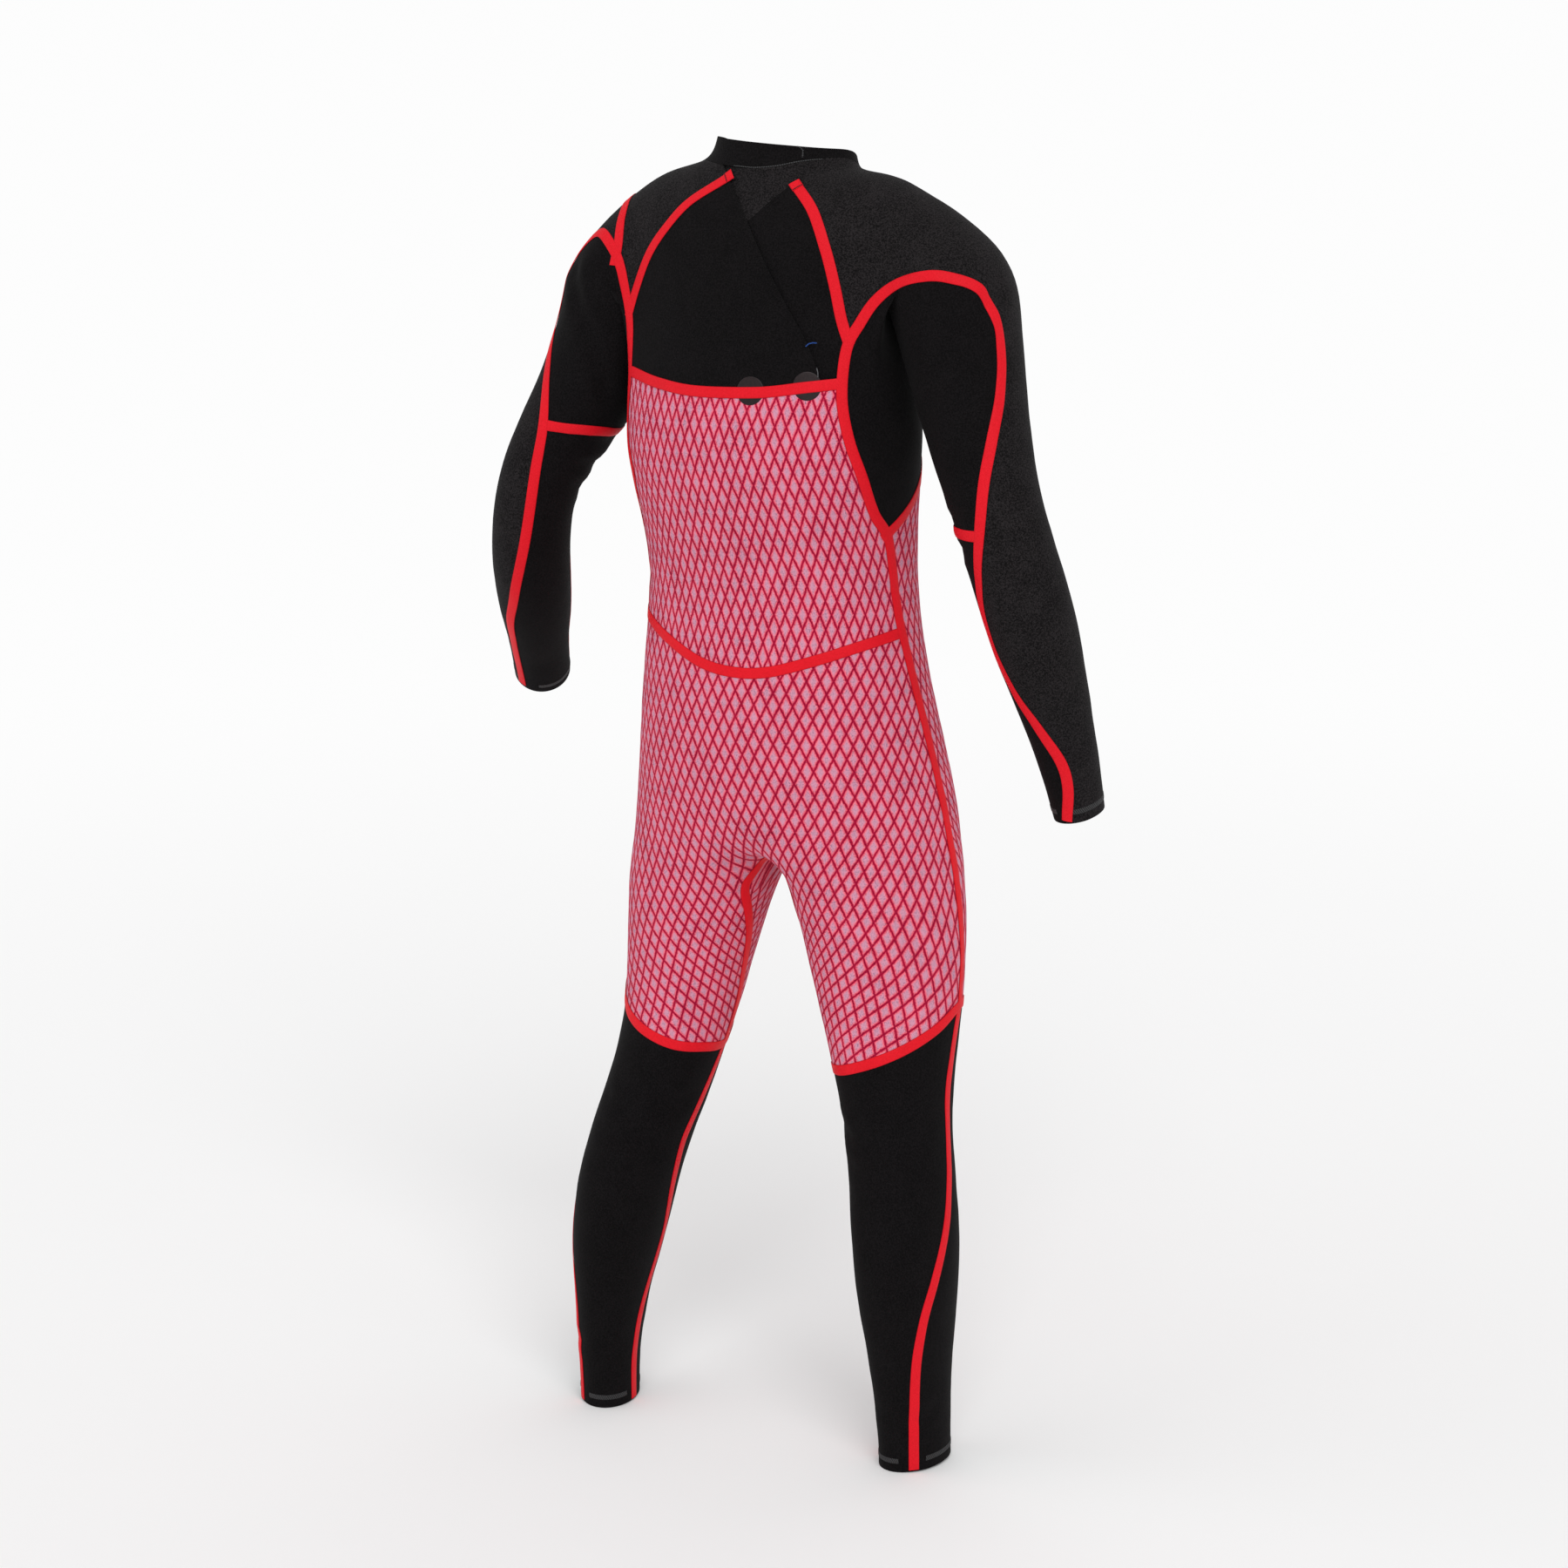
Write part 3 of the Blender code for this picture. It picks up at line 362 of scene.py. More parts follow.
# ---------------------------------------------------------------- seams
# A seam is drawn through points of the form. "back" and "front" give the distance out from the
# middle and the height; "trunk", "arm" and "leg" give the bearing in degrees round that tube,
# 0 straight ahead and 90 to the outside, and the height.
Spot = namedtuple("Spot", "where across z")


def spots(where, *places):
    return tuple(Spot(where, *place) for place in places)


COLLAR_SEAM = spots("trunk", (0, -0.030), (45, -0.012), (90, 0.020), (135, 0.019), (180, 0.015),
    (225, 0.023), (270, 0.021), (315, -0.010))
LAP_EDGE = spots("back", (0.055, 0.0275), (0.032, 0.007), (-0.004, -0.037), (-0.050, -0.102),
    (-0.085, -0.157), (-0.1025, -0.200))
UNDER_TOP = spots("back", (-0.045, 0.000), (-0.024, -0.020), (-0.003, -0.0385))
RAGLAN_BACK = {
    1: spots("back", (0.026, 0.008), (0.068, -0.018), (0.093, -0.046), (0.114, -0.076),
       (0.128, -0.108), (0.140, -0.142)),
    -1: spots("back", (0.045, 0.000), (0.073, -0.027), (0.095, -0.066), (0.107, -0.102),
        (0.115, -0.134), (0.125, -0.163)),
}
RAGLAN_FRONT = spots("front", (0.049, -0.003), (0.074, -0.048), (0.096, -0.095), (0.109, -0.135),
    (0.122, -0.176))
SHOULDER_LEFT = (spots("back", (0.160, -0.086), (0.159, -0.058), (0.166, -0.026)) + spots("front",
    (0.168, -0.028), (0.160, -0.070), (0.147, -0.122)))
CHEST_BACK = spots("back", (-0.1225, -0.196), (-0.089, -0.200), (-0.040, -0.206), (0.030, -0.207),
    (0.080, -0.202), (0.120, -0.195), (0.146, -0.190))
CHEST_FRONT = spots("front", (-0.121, -0.195), (-0.060, -0.212), (0.0, -0.217), (0.060, -0.212),
    (0.121, -0.195))
SIDE = (spots("leg", (74, -0.866), (76, -0.815), (81, -0.760), (88, -0.680)) + spots("trunk",
    (95, -0.606), (96, -0.520), (99, -0.452), (102, -0.405), (104, -0.358), (110.5, -0.330),
    (114.5, -0.293)))
SLEEVE_BACK = {
    1: spots("back", (0.143, -0.250), (0.136, -0.200), (0.135, -0.150), (0.145, -0.107),
       (0.160, -0.074), (0.188, -0.053)) + spots("arm", (132, -0.066), (124, -0.100),
       (124, -0.150), (150, -0.200), (178, -0.250), (200, -0.301), (206, -0.377), (190, -0.445),
       (178, -0.485), (174, -0.536), (177, -0.570)),
    -1: spots("back", (0.126, -0.253), (0.119, -0.210), (0.121, -0.163), (0.132, -0.137),
        (0.146, -0.115), (0.167, -0.099), (0.195, -0.090), (0.224, -0.090)) + spots("arm",
        (130, -0.104), (119, -0.138), (119, -0.171), (126, -0.206), (143, -0.250), (162, -0.291),
        (182, -0.334), (208, -0.385), (221, -0.435), (212, -0.494), (190, -0.536), (170, -0.574),
        (167, -0.603), (182, -0.640)),
}
SLEEVE_FRONT = (spots("trunk", (107, -0.357), (93, -0.329), (78, -0.296), (62, -0.262))
    + spots("front", (0.124, -0.232), (0.117, -0.196), (0.119, -0.163), (0.132, -0.132),
    (0.152, -0.112), (0.180, -0.106)) + spots("arm", (14, -0.130), (18, -0.170), (12, -0.210),
    (0, -0.260), (346, -0.320), (334, -0.385)))
WRIST_FRONT = {
    1: spots("arm", (326, -0.430), (324, -0.470), (330, -0.505), (335, -0.540)),
    -1: spots("arm", (326, -0.440), (324, -0.500), (330, -0.560), (336, -0.632)),
}
ELBOW = {
    1: spots("arm", (175, -0.253), (225, -0.258), (262, -0.262), (310, -0.262), (3, -0.256)),
    -1: spots("arm", (182, -0.343), (225, -0.342), (270, -0.340), (305, -0.340), (346, -0.338)),
}
WAIST = (spots("trunk", (263, -0.455)) + spots("back", (-0.122, -0.468), (-0.083, -0.482),
    (-0.038, -0.495), (0.0, -0.498), (0.042, -0.492), (0.089, -0.474), (0.123, -0.460))
    + spots("trunk", (97, -0.448)))
THIGH = spots("leg", (0, -0.884), (35, -0.870), (74, -0.862), (109, -0.880), (138, -0.894),
    (164, -0.906), (189, -0.917), (210, -0.925), (237, -0.930), (275, -0.934), (305, -0.922),
    (332, -0.902))
INSEAM_BACK = 0.028      # where the inseam crosses between the legs
INSEAM_HALF = spots("leg", (243, -0.724), (238, -0.745), (246, -0.775), (254, -0.806),
    (260, -0.844), (270, -0.888), (276, -0.938))
SHANK_OUTER = spots("leg", (74, -0.858), (80, -0.910), (86, -0.950), (86, -0.995), (90, -1.042),
    (101, -1.085), (119, -1.131), (135, -1.174), (146, -1.220), (153, -1.280), (156, -1.344))
SHANK_INNER = spots("leg", (276, -0.930), (272, -0.990), (268, -1.044), (276, -1.098),
    (285, -1.144), (280, -1.190), (270, -1.232), (262, -1.290), (262, -1.344))
DRAINS = spots("back", (-0.032, -0.2045), (-0.088, -0.199))

SAMPLE = 0.004           # spacing of the points that a seam is read at
RUN_ON = 0.020           # how far a seam is drawn past its last point


def tube_centre(where, side, z):
    """Middle of the trunk, an arm or a leg at a height."""
    if where == "trunk":
        middles = [Vector((0, row.shift, row.side_z)) for row in TRUNK[::-1]]
    else:
        rows = LEG if where == "leg" else (LEFT_ARM if side > 0 else RIGHT_ARM)
        middles = [Vector((side * row.out, row.back, row.z)) for row in rows]
    for above, below in zip(middles, middles[1:]):
        if z >= below.z or below is middles[-1]:
            break
    return above.lerp(below, (above.z - z) / (above.z - below.z))


def place(form, spot, side):
    """The point of the form that a spot names."""
    if spot.where in ("back", "front"):
        face = 1 if spot.where == "back" else -1
        start, heading = Vector((side * spot.across, face, spot.z)), Vector((0, -face, 0))
    else:
        bearing = math.radians(spot.across)
        start = tube_centre(spot.where, side, spot.z)
        heading = Vector((side * math.sin(bearing), -math.cos(bearing), 0))
    return form.ray_cast(start, heading)[0] or form.find_nearest(start + heading * 0.05)[0]


class Seam:
    """A smooth line on the form, with the way along it and the way across it at every sample."""

    def __init__(self, form, knots, closed=False):
        self.closed = closed
        points = [form.find_nearest(point) for point in smooth_line(knots, closed)]
        self.points = [found[0] for found in points]
        last = len(self.points) - 1
        self.normals = []
        for index in range(last + 1):
            near = points[max(index - 3, 0):index + 4]
            self.normals.append(sum((found[1] for found in near), Vector()).normalized())
        self.along, self.stations = [], [0.0]
        for index in range(last + 1):
            if closed:
                step = self.points[(index + 1) % (last + 1)] - self.points[index - 1]
            else:
                step = self.points[min(index + 1, last)] - self.points[max(index - 1, 0)]
            self.along.append(step.normalized())
            if index:
                reach = (self.points[index] - self.points[index - 1]).length
                self.stations.append(self.stations[-1] + reach)
        self.length = self.stations[-1]
        self.finder = KDTree(len(self.points))
        for index, point in enumerate(self.points):
            self.finder.insert(point, index)
        self.finder.balance()
        self.low = [min(point[axis] for point in self.points) for axis in range(3)]
        self.high = [max(point[axis] for point in self.points) for axis in range(3)]

    def index_at(self, station):
        """The sample of the line nearest to a station."""
        index = bisect(self.stations, station)
        if index and (index == len(self.stations)
                      or station - self.stations[index - 1] < self.stations[index] - station):
            index -= 1
        return index

    def near(self, point, reach):
        """Whether a point is in the box round the line, so that it is worth a closer look."""
        return all(self.low[axis] - reach < point[axis] < self.high[axis] + reach
                   for axis in range(3))

    def locate(self, point):
        """Station along the seam, distance to its left and distance from it."""
        nearest, index = self.finder.find(point)[:2]
        step = point - nearest
        along = self.along[index]
        ahead = step.dot(along)
        leftward = self.normals[index].cross(along)
        return self.stations[index] + ahead, step.dot(leftward), (step - along * ahead).length

    def leftward(self, point):
        index = self.finder.find(point)[1]
        return self.normals[index].cross(self.along[index])

    def covers(self, station, margin=0.0):
        return self.closed or -margin <= station <= self.length + margin

    def between(self, station, first, second):
        """Whether a station lies inside the shorter way from one station to another."""
        first, second = min(first, second), max(first, second)
        if self.closed and second - first > self.length / 2:
            return station < first or station > second
        return first < station < second


def smooth_line(knots, closed):
    """Points at an even spacing along a smooth curve through the knots."""
    count = len(knots)
    spans = count if closed else count - 1
    line = []
    for index in range(spans):
        if closed:
            before, start, end, after = (knots[(index + step) % count] for step in (-1, 0, 1, 2))
        else:
            start, end = knots[index], knots[index + 1]
            before = knots[index - 1] if index else start * 2 - end
            after = knots[index + 2] if index + 2 < count else end * 2 - start
        steps = max(1, round((end - start).length / SAMPLE))
        for step in range(steps):
            t = step / steps
            line.append(0.5 * (2 * start + (end - before) * t
                               + (2 * before - 5 * start + 4 * end - after) * t ** 2
                               + (3 * start - before - 3 * end + after) * t ** 3))
    if not closed:
        line.append(knots[-1])
    return line


# ---------------------------------------------------------------- creases
# A crease is a line of spots, its side, half width, depth at its deepest (a ridge is negative),
# and how far the cloth stands up beside it.
Crease = namedtuple("Crease", "spots side width depth lip")
CREASES = (
    Crease(spots("back", (0.214, -0.085), (0.197, -0.132), (0.185, -0.156), (0.179, -0.192))
           + spots("arm", (235, -0.222)), 1, 0.010, 0.0034, 0.5),
    Crease(spots("back", (0.262, -0.100), (0.241, -0.142), (0.226, -0.167), (0.212, -0.198))
           + spots("arm", (221, -0.230)), -1, 0.011, 0.0036, 0.5),
    Crease(spots("back", (0.226, -0.090), (0.214, -0.126), (0.196, -0.160)),
           -1, 0.008, 0.0014, 0.4),
    Crease(spots("arm", (196, -0.262), (225, -0.272), (262, -0.276), (300, -0.268)), 1, 0.008,
           0.0022, 0.5),
    Crease(spots("arm", (250, -0.296), (290, -0.300), (340, -0.288), (20, -0.276)), 1, 0.008,
           0.0024, 0.4),
    Crease(spots("arm", (262, -0.318), (310, -0.326), (350, -0.318)),
           1, 0.007, 0.0016, 0.4),
    Crease(spots("arm", (205, -0.322), (240, -0.330), (290, -0.330), (335, -0.318)), -1, 0.008,
           0.0018, 0.4),
    Crease(spots("arm", (230, -0.358), (275, -0.364), (330, -0.356), (10, -0.344)), -1, 0.008,
           0.0020, 0.4),
    Crease(spots("front", (0.205, -0.110), (0.190, -0.150), (0.172, -0.190), (0.158, -0.225)), 1,
           0.010, 0.0030, 0.5),
    Crease(spots("front", (0.222, -0.106), (0.205, -0.150), (0.186, -0.190), (0.166, -0.226)), -1,
           0.010, 0.0030, 0.5),
    Crease(spots("trunk", (280, -0.395), (262, -0.412), (243, -0.416)),
           1, 0.009, 0.0016, 0.3),
    Crease(spots("trunk", (70, -0.392), (92, -0.408), (116, -0.414)),
           1, 0.009, 0.0014, 0.3),
    Crease(spots("leg", (352, -0.742), (325, -0.760), (298, -0.790)),
           1, 0.010, 0.0018, 0.4),
    Crease(spots("leg", (350, -0.736), (322, -0.752), (292, -0.784)),
           -1, 0.010, 0.0020, 0.4),
    Crease(spots("leg", (140, -0.990), (175, -0.998), (215, -1.000), (250, -0.988)), 1, 0.009,
           0.0022, 0.5),
    Crease(spots("leg", (150, -1.022), (190, -1.030), (228, -1.024)),
           1, 0.008, 0.0014, 0.4),
    Crease(spots("leg", (120, -0.986), (160, -0.996), (200, -0.998), (240, -0.984)), -1, 0.009,
           0.0022, 0.5),
    Crease(spots("leg", (145, -1.016), (185, -1.026), (222, -1.020)),
           -1, 0.008, 0.0014, 0.4),
    Crease(spots("leg", (100, -1.262), (150, -1.270), (196, -1.264)),
           1, 0.008, 0.0014, 0.4),
    Crease(spots("leg", (110, -1.282), (160, -1.288), (210, -1.278)),
           -1, 0.008, 0.0014, 0.4),
)
CREASE_FADE = 0.022              # a crease dies out over this length at its ends
CREASE_REACH = 3.2               # half widths from a crease's line that the cloth still moves
CREASE_BEAT = 190                # turns of depth along a crease, radians a metre
LIP_AWAY = 1.7                   # half widths from the line to the lip
UNEVEN = ((26, 0.0006), (60, 0.0002))    # fineness and height of the unevenness all over


def fold_cloth(surface, form):
    """Move the smooth surface in and out along the creases, with a slow unevenness all over."""
    out = surface.verts.layers.float_vector["out"]
    moves = [0.0] * len(surface.verts)
    surface.verts.index_update()
    for crease in CREASES:
        line = Seam(form, [place(form, spot, crease.side) for spot in crease.spots])
        reach = CREASE_REACH * crease.width
        for vert in surface.verts:
            if not line.near(vert.co, reach):
                continue
            station, left, distance = line.locate(vert.co)
            if distance > reach:
                continue
            ends = min(station, line.length - station) / CREASE_FADE
            ease = min(max(ends + 0.5, 0.0), 1.0)
            ease *= ease * (3 - 2 * ease) * (0.8 + 0.2 * math.sin(station * CREASE_BEAT))
            across = left / crease.width
            trough = math.exp(-across * across)
            lip = crease.lip * math.exp(-(abs(across) - LIP_AWAY) ** 2)
            moves[vert.index] += ease * crease.depth * (lip - trough)
    for vert in surface.verts:
        slow = sum(noise.noise(vert.co * fine) * height for fine, height in UNEVEN)
        vert.co += vert[out] * (moves[vert.index] + slow)


# ---------------------------------------------------------------- cutting the form
HIDDEN = 99              # label of the hidden edge of the under layer
SNAP = 0.0006            # a corner this near a seam counts as lying on it
SAG = 0.004              # how far a flat facet may lie from the line that is drawn round it
CUT_REACH = 0.030        # cuts are looked for this near a seam
SEAM_END = 0.007         # a cut runs this far past the last point of its seam


def cut_along(mesh, seam, aside=0.0, label=0):
    """Cut the faces along a seam, or along a line beside it, and label the cut edges."""
    out = mesh.verts.layers.float_vector["out"]
    lines = mesh.edges.layers.int["line"]
    mesh.verts.index_update()
    across, stations = {}, {}
    for vert in mesh.verts:
        if not seam.near(vert.co, CUT_REACH):
            continue
        station, left, distance = seam.locate(vert.co)
        if distance > CUT_REACH + abs(aside):
            continue
        across[vert] = left - aside
        if (abs(left - aside) < SNAP and distance < abs(aside) + SAG
                and seam.covers(station, RUN_ON)):
            stations[vert] = station
            if not any(edge[lines] or edge.is_boundary for edge in vert.link_edges):
                vert.co -= seam.leftward(vert.co) * (left - aside)
    beside_line = sorted({edge for vert in across for edge in vert.link_edges
                          if all(end in across for end in edge.verts)},
                         key=lambda edge: tuple(end.index for end in edge.verts))
    for edge in beside_line:
        first, second = edge.verts
        if first in stations or second in stations or across[first] * across[second] >= 0:
            continue
        low, high = 0.0, 1.0
        for _ in range(8):
            part = (low + high) / 2
            station, left, distance = seam.locate(first.co.lerp(second.co, part))
            if (left - aside) * across[first] > 0:
                low = part
            else:
                high = part
        if distance > abs(aside) + SAG or not seam.covers(station, RUN_ON):
            continue
        facing = first[out].lerp(second[out], part)
        vert = bmesh.utils.edge_split(edge, first, part)[1]
        vert[out] = facing
        stations[vert] = station
    mesh.verts.index_update()
    mesh.faces.index_update()
    crossed = sorted({face for vert in stations for face in vert.link_faces},
                     key=lambda face: face.index)
    for face in crossed:
        corners = sorted((vert for vert in face.verts if vert in stations), key=stations.get)
        for start, end in zip(corners, corners[1:]):
            shared = [part for part in start.link_faces if part in end.link_faces]
            if shared and not any(edge.other_vert(start) == end for edge in start.link_edges):
                bmesh.utils.face_split(shared[0], start, end)
    for edge in {edge for vert in stations for edge in vert.link_edges}:
        first, second = edge.verts
        if edge[lines] or first not in stations or second not in stations:
            continue
        beside = [stations[vert] for face in edge.link_faces for vert in face.verts
                  if vert in stations and vert not in edge.verts]
        if not any(seam.between(other, stations[first], stations[second]) for other in beside):
            edge[lines] = label


def mark_cuts(mesh, seams, leave):
    """Mark the cuts between the ends of their seams, but for those to leave.

    Without the flap's own edge, the under layer reaches its hidden edge below the flap.
    """
    names = list(seams)
    lines = mesh.edges.layers.int["line"]
    for edge in mesh.edges:
        if edge[lines] == HIDDEN:
            edge.seam = "hidden" not in leave
            continue
        if not edge[lines]:
            edge.seam = False
            continue
        name = names[edge[lines] - 1]
        middle = (edge.verts[0].co + edge.verts[1].co) / 2
        margin = RUN_ON if name == "under_top" and "hidden" not in leave else SEAM_END
        covered = seams[name].covers(seams[name].locate(middle)[0], margin)
        edge.seam = covered and name not in leave


def regions(mesh):
    """Sets of faces that the marked cuts part from each other."""
    waiting, found = set(mesh.faces), []
    for face in list(mesh.faces):
        if face not in waiting:
            continue
        waiting.discard(face)
        region, front = {face}, [face]
        while front:
            for edge in front.pop().edges:
                if edge.seam:
                    continue
                for other in edge.link_faces:
                    if other in waiting:
                        waiting.discard(other)
                        region.add(other)
                        front.append(other)
        found.append(region)
    return found


def pull_in_rim(piece, amount):
    """Move the rim of an open piece inwards, square to its edges."""
    moves = {}
    piece.normal_update()
    for vert in piece.verts:
        inward = []
        for edge in vert.link_edges:
            if edge.is_boundary:
                loop = edge.link_loops[0]
                along = loop.link_loop_next.vert.co - loop.vert.co
                inward.append(loop.face.normal.cross(along).normalized())
        if len(inward) == 2:
            corner = max(1 + inward[0].dot(inward[1]), 0.3)
            moves[vert] = (inward[0] + inward[1]) * (amount / corner)
    for vert, move in moves.items():
        vert.co += move


def draw_all(form):
    """Every seam of the garment, by name; each runs through those that come after it."""
    def line(spots, side=1, closed=False):
        return Seam(form, [place(form, spot, side) for spot in spots], closed)

    sides = (("l", 1), ("r", -1))
    seams = {"collar": line(COLLAR_SEAM, closed=True)}
    for suffix, side in sides:
        seams["thigh_" + suffix] = line(THIGH, side, closed=True)
    for suffix, side in sides:
        seams["flank_" + suffix] = line(SIDE + SLEEVE_BACK[side], side)
    for suffix, side in sides:
        seams["sleeve_" + suffix] = line(SLEEVE_FRONT + WRIST_FRONT[side], side)
    seams["chest_back"] = line(CHEST_BACK)
    seams["chest_front"] = line(CHEST_FRONT)
    seams["lap"] = line(LAP_EDGE)
    for suffix, side in sides:
        seams["raglan_back_" + suffix] = line(RAGLAN_BACK[side], side)
        seams["raglan_front_" + suffix] = line(RAGLAN_FRONT, side)
    seams["under_top"] = line(UNDER_TOP)
    seams["shoulder_l"] = line(SHOULDER_LEFT)
    seams["waist"] = line(WAIST)
    inseam = [place(form, spot, 1) for spot in INSEAM_HALF[::-1]]
    inseam.append(form.ray_cast(Vector((0, INSEAM_BACK, -0.8)), Vector((0, 0, 1)))[0])
    inseam += [place(form, spot, -1) for spot in INSEAM_HALF]
    seams["inseam"] = Seam(form, inseam)
    for suffix, side in sides:
        seams["elbow_" + suffix] = line(ELBOW[side], side)
        seams["shank_outer_" + suffix] = line(SHANK_OUTER, side)
        seams["shank_inner_" + suffix] = line(SHANK_INNER, side)
    return seams


# name, a spot inside the panel and its side
PANELS = (
    ("collar", Spot("trunk", 180, 0.030), 1),
    ("yoke_flap", Spot("back", 0.040, -0.130), 1),
    ("shoulder_l", Spot("back", 0.110, -0.030), 1),
    ("sleeve_outer_l", Spot("arm", 90, -0.300), 1),
    ("gusset_l", Spot("arm", 250, -0.200), 1),
    ("gusset_r", Spot("arm", 180, -0.200), -1),
    ("forearm_l", Spot("arm", 270, -0.420), 1),
    ("forearm_r", Spot("arm", 270, -0.480), -1),
    ("chest", Spot("front", 0.0, -0.120), 1),
    ("back", Spot("back", 0.0, -0.350), 1),
    ("front", Spot("front", 0.0, -0.450), 1),
    ("seat", Spot("back", 0.080, -0.620), 1),
    ("calf_l", Spot("leg", 200, -1.100), 1),
    ("calf_r", Spot("leg", 200, -1.100), -1),
    ("shin_l", Spot("leg", 0, -1.100), 1),
    ("shin_r", Spot("leg", 0, -1.100), -1),
)
UNDER_LAP = (
    ("yoke_under", Spot("back", -0.070, -0.110), 1),
    ("sleeve_outer_r", Spot("arm", 90, -0.300), -1),
)


def sink(lap, point):
    """How far the under layer lies below the form beside the flap's edge."""
    station, left, distance = lap.locate(point)
    if not lap.covers(station, RUN_ON) or distance > LAP_EASE + LAP:
        return 0.0
    rise = min(max(left / LAP_EASE, 0.0), 1.0)
    return -(WALL + SEAM_GAP) * (1 - rise * rise * (3 - 2 * rise))


# ---------------------------------------------------------------- materials
def add_group(name, inputs, outputs):
    """An empty shader group with sockets given as (name, type, value)."""
    group = bpy.data.node_groups.new(name, "ShaderNodeTree")
    for label, kind, value in inputs:
        socket = group.interface.new_socket(label, in_out="INPUT", socket_type=kind)
        if value is not None:
            socket.default_value = value
    for label, kind in outputs:
        group.interface.new_socket(label, in_out="OUTPUT", socket_type=kind)
    return group, group.nodes.new("NodeGroupInput"), group.nodes.new("NodeGroupOutput")


class Tree:
    """Short ways to add and join nodes."""

    def __init__(self, tree):
        self.tree = tree

    def put(self, socket, value):
        if isinstance(value, bpy.types.NodeSocket):
            self.tree.links.new(value, socket)
        else:
            socket.default_value = value

    def add(self, kind, values=(), **settings):
        node = self.tree.nodes.new(kind)
        for key, setting in settings.items():
            setattr(node, key, setting)
        for key, value in dict(values).items():
            self.put(node.inputs[key], value)
        return node

    def math(self, operation, first, second=0.0, third=0.0):
        node = self.add("ShaderNodeMath", operation=operation)
        for index, value in enumerate((first, second, third)):
            if index < len(node.inputs):
                self.put(node.inputs[index], value)
        return node.outputs[0]

    def mix(self, factor, first, second, blend="MIX"):
        node = self.add("ShaderNodeMix", data_type="RGBA", blend_type=blend)
        self.put(node.inputs[0], factor)
        self.put(node.inputs[6], first)
        self.put(node.inputs[7], second)
        return node.outputs[2]

    def ramp(self, factor, stops):
        node = self.add("ShaderNodeValToRGB", {0: factor})
        points = node.color_ramp.elements
        while len(points) < len(stops):
            points.new(0.5)
        for point, (position, colour) in zip(points, stops):
            point.position = position
            point.color = (*colour, 1)
        return node.outputs[0]

    def steps(self, value, low, high):
        node = self.add("ShaderNodeMapRange", {0: value, 1: low, 2: high, 3: 0.0, 4: 1.0},
                        interpolation_type="SMOOTHSTEP")
        return node.outputs[0]


def heather_group():
    """Uneven fibres of a knit: a speckle mask and a fine height, from Object coordinates."""
    group, given, result = add_group(
        "heather", [("Vector", "NodeSocketVector", None), ("Scale", "NodeSocketFloat", 900.0)],
        [("Speckle", "NodeSocketFloat"), ("Height", "NodeSocketFloat")])
    tree = Tree(group)
    fine = tree.add("ShaderNodeTexNoise", {"Vector": given.outputs[0], "Scale": given.outputs[1],
                                           "Detail": 2.0, "Roughness": 0.7})
    broad = tree.add("ShaderNodeTexNoise", {"Vector": given.outputs[0], "Scale": 38.0,
                                            "Detail": 2.0})
    speckle = tree.math("ADD", tree.math("MULTIPLY", fine.outputs[0], 0.86),
                        tree.math("MULTIPLY", broad.outputs[0], 0.14))
    tree.put(result.inputs[0], speckle)
    tree.put(result.inputs[1], fine.outputs[0])
    return group


def new_material(name, roughness, sheen=0.0, sheen_roughness=0.5, specular=0.5):
    material = bpy.data.materials.new(name)
    material.use_nodes = True
    surface = material.node_tree.nodes["Principled BSDF"]
    surface.inputs["Roughness"].default_value = roughness
    surface.inputs["Sheen Weight"].default_value = sheen
    surface.inputs["Sheen Roughness"].default_value = sheen_roughness
    surface.inputs["Specular IOR Level"].default_value = specular
    return material, Tree(material.node_tree), surface


def put_bump(tree, surface, height, distance, strength=1.0):
    bump = tree.add("ShaderNodeBump", {"Height": height, "Distance": distance,
                                       "Strength": strength})
    tree.put(surface.inputs["Normal"], bump.outputs[0])


def heather_in(tree, scale):
    place = tree.add("ShaderNodeTexCoord").outputs["Object"]
    node = tree.add("ShaderNodeGroup", node_tree=HEATHER)
    tree.put(node.inputs["Vector"], place)
    node.inputs["Scale"].default_value = scale
    return node.outputs["Speckle"], node.outputs["Height"], place


def jersey_material(name, dark, light, specular):
    """Black stretch jersey: fine fibres, faint wales and slow changes of tone."""
    material, tree, surface = new_material(name, 0.82, 0.015, 0.5, specular)
    speckle, height, place = heather_in(tree, 640.0)
    tone = tree.steps(speckle, 0.36, 0.66)
    tree.put(surface.inputs["Base Color"], tree.mix(tone, (*dark, 1), (*light, 1)))
    wales = tree.add("ShaderNodeTexWave", {"Vector": place, "Scale": 150.0, "Distortion": 1.2,
                                           "Detail": 1.0, "Detail Scale": 3.0},
                     bands_direction="X")
    relief = tree.math("ADD", height, tree.math("MULTIPLY", wales.outputs[0], 0.25))
    put_bump(tree, surface, relief, 0.0004, 0.6)
    return material


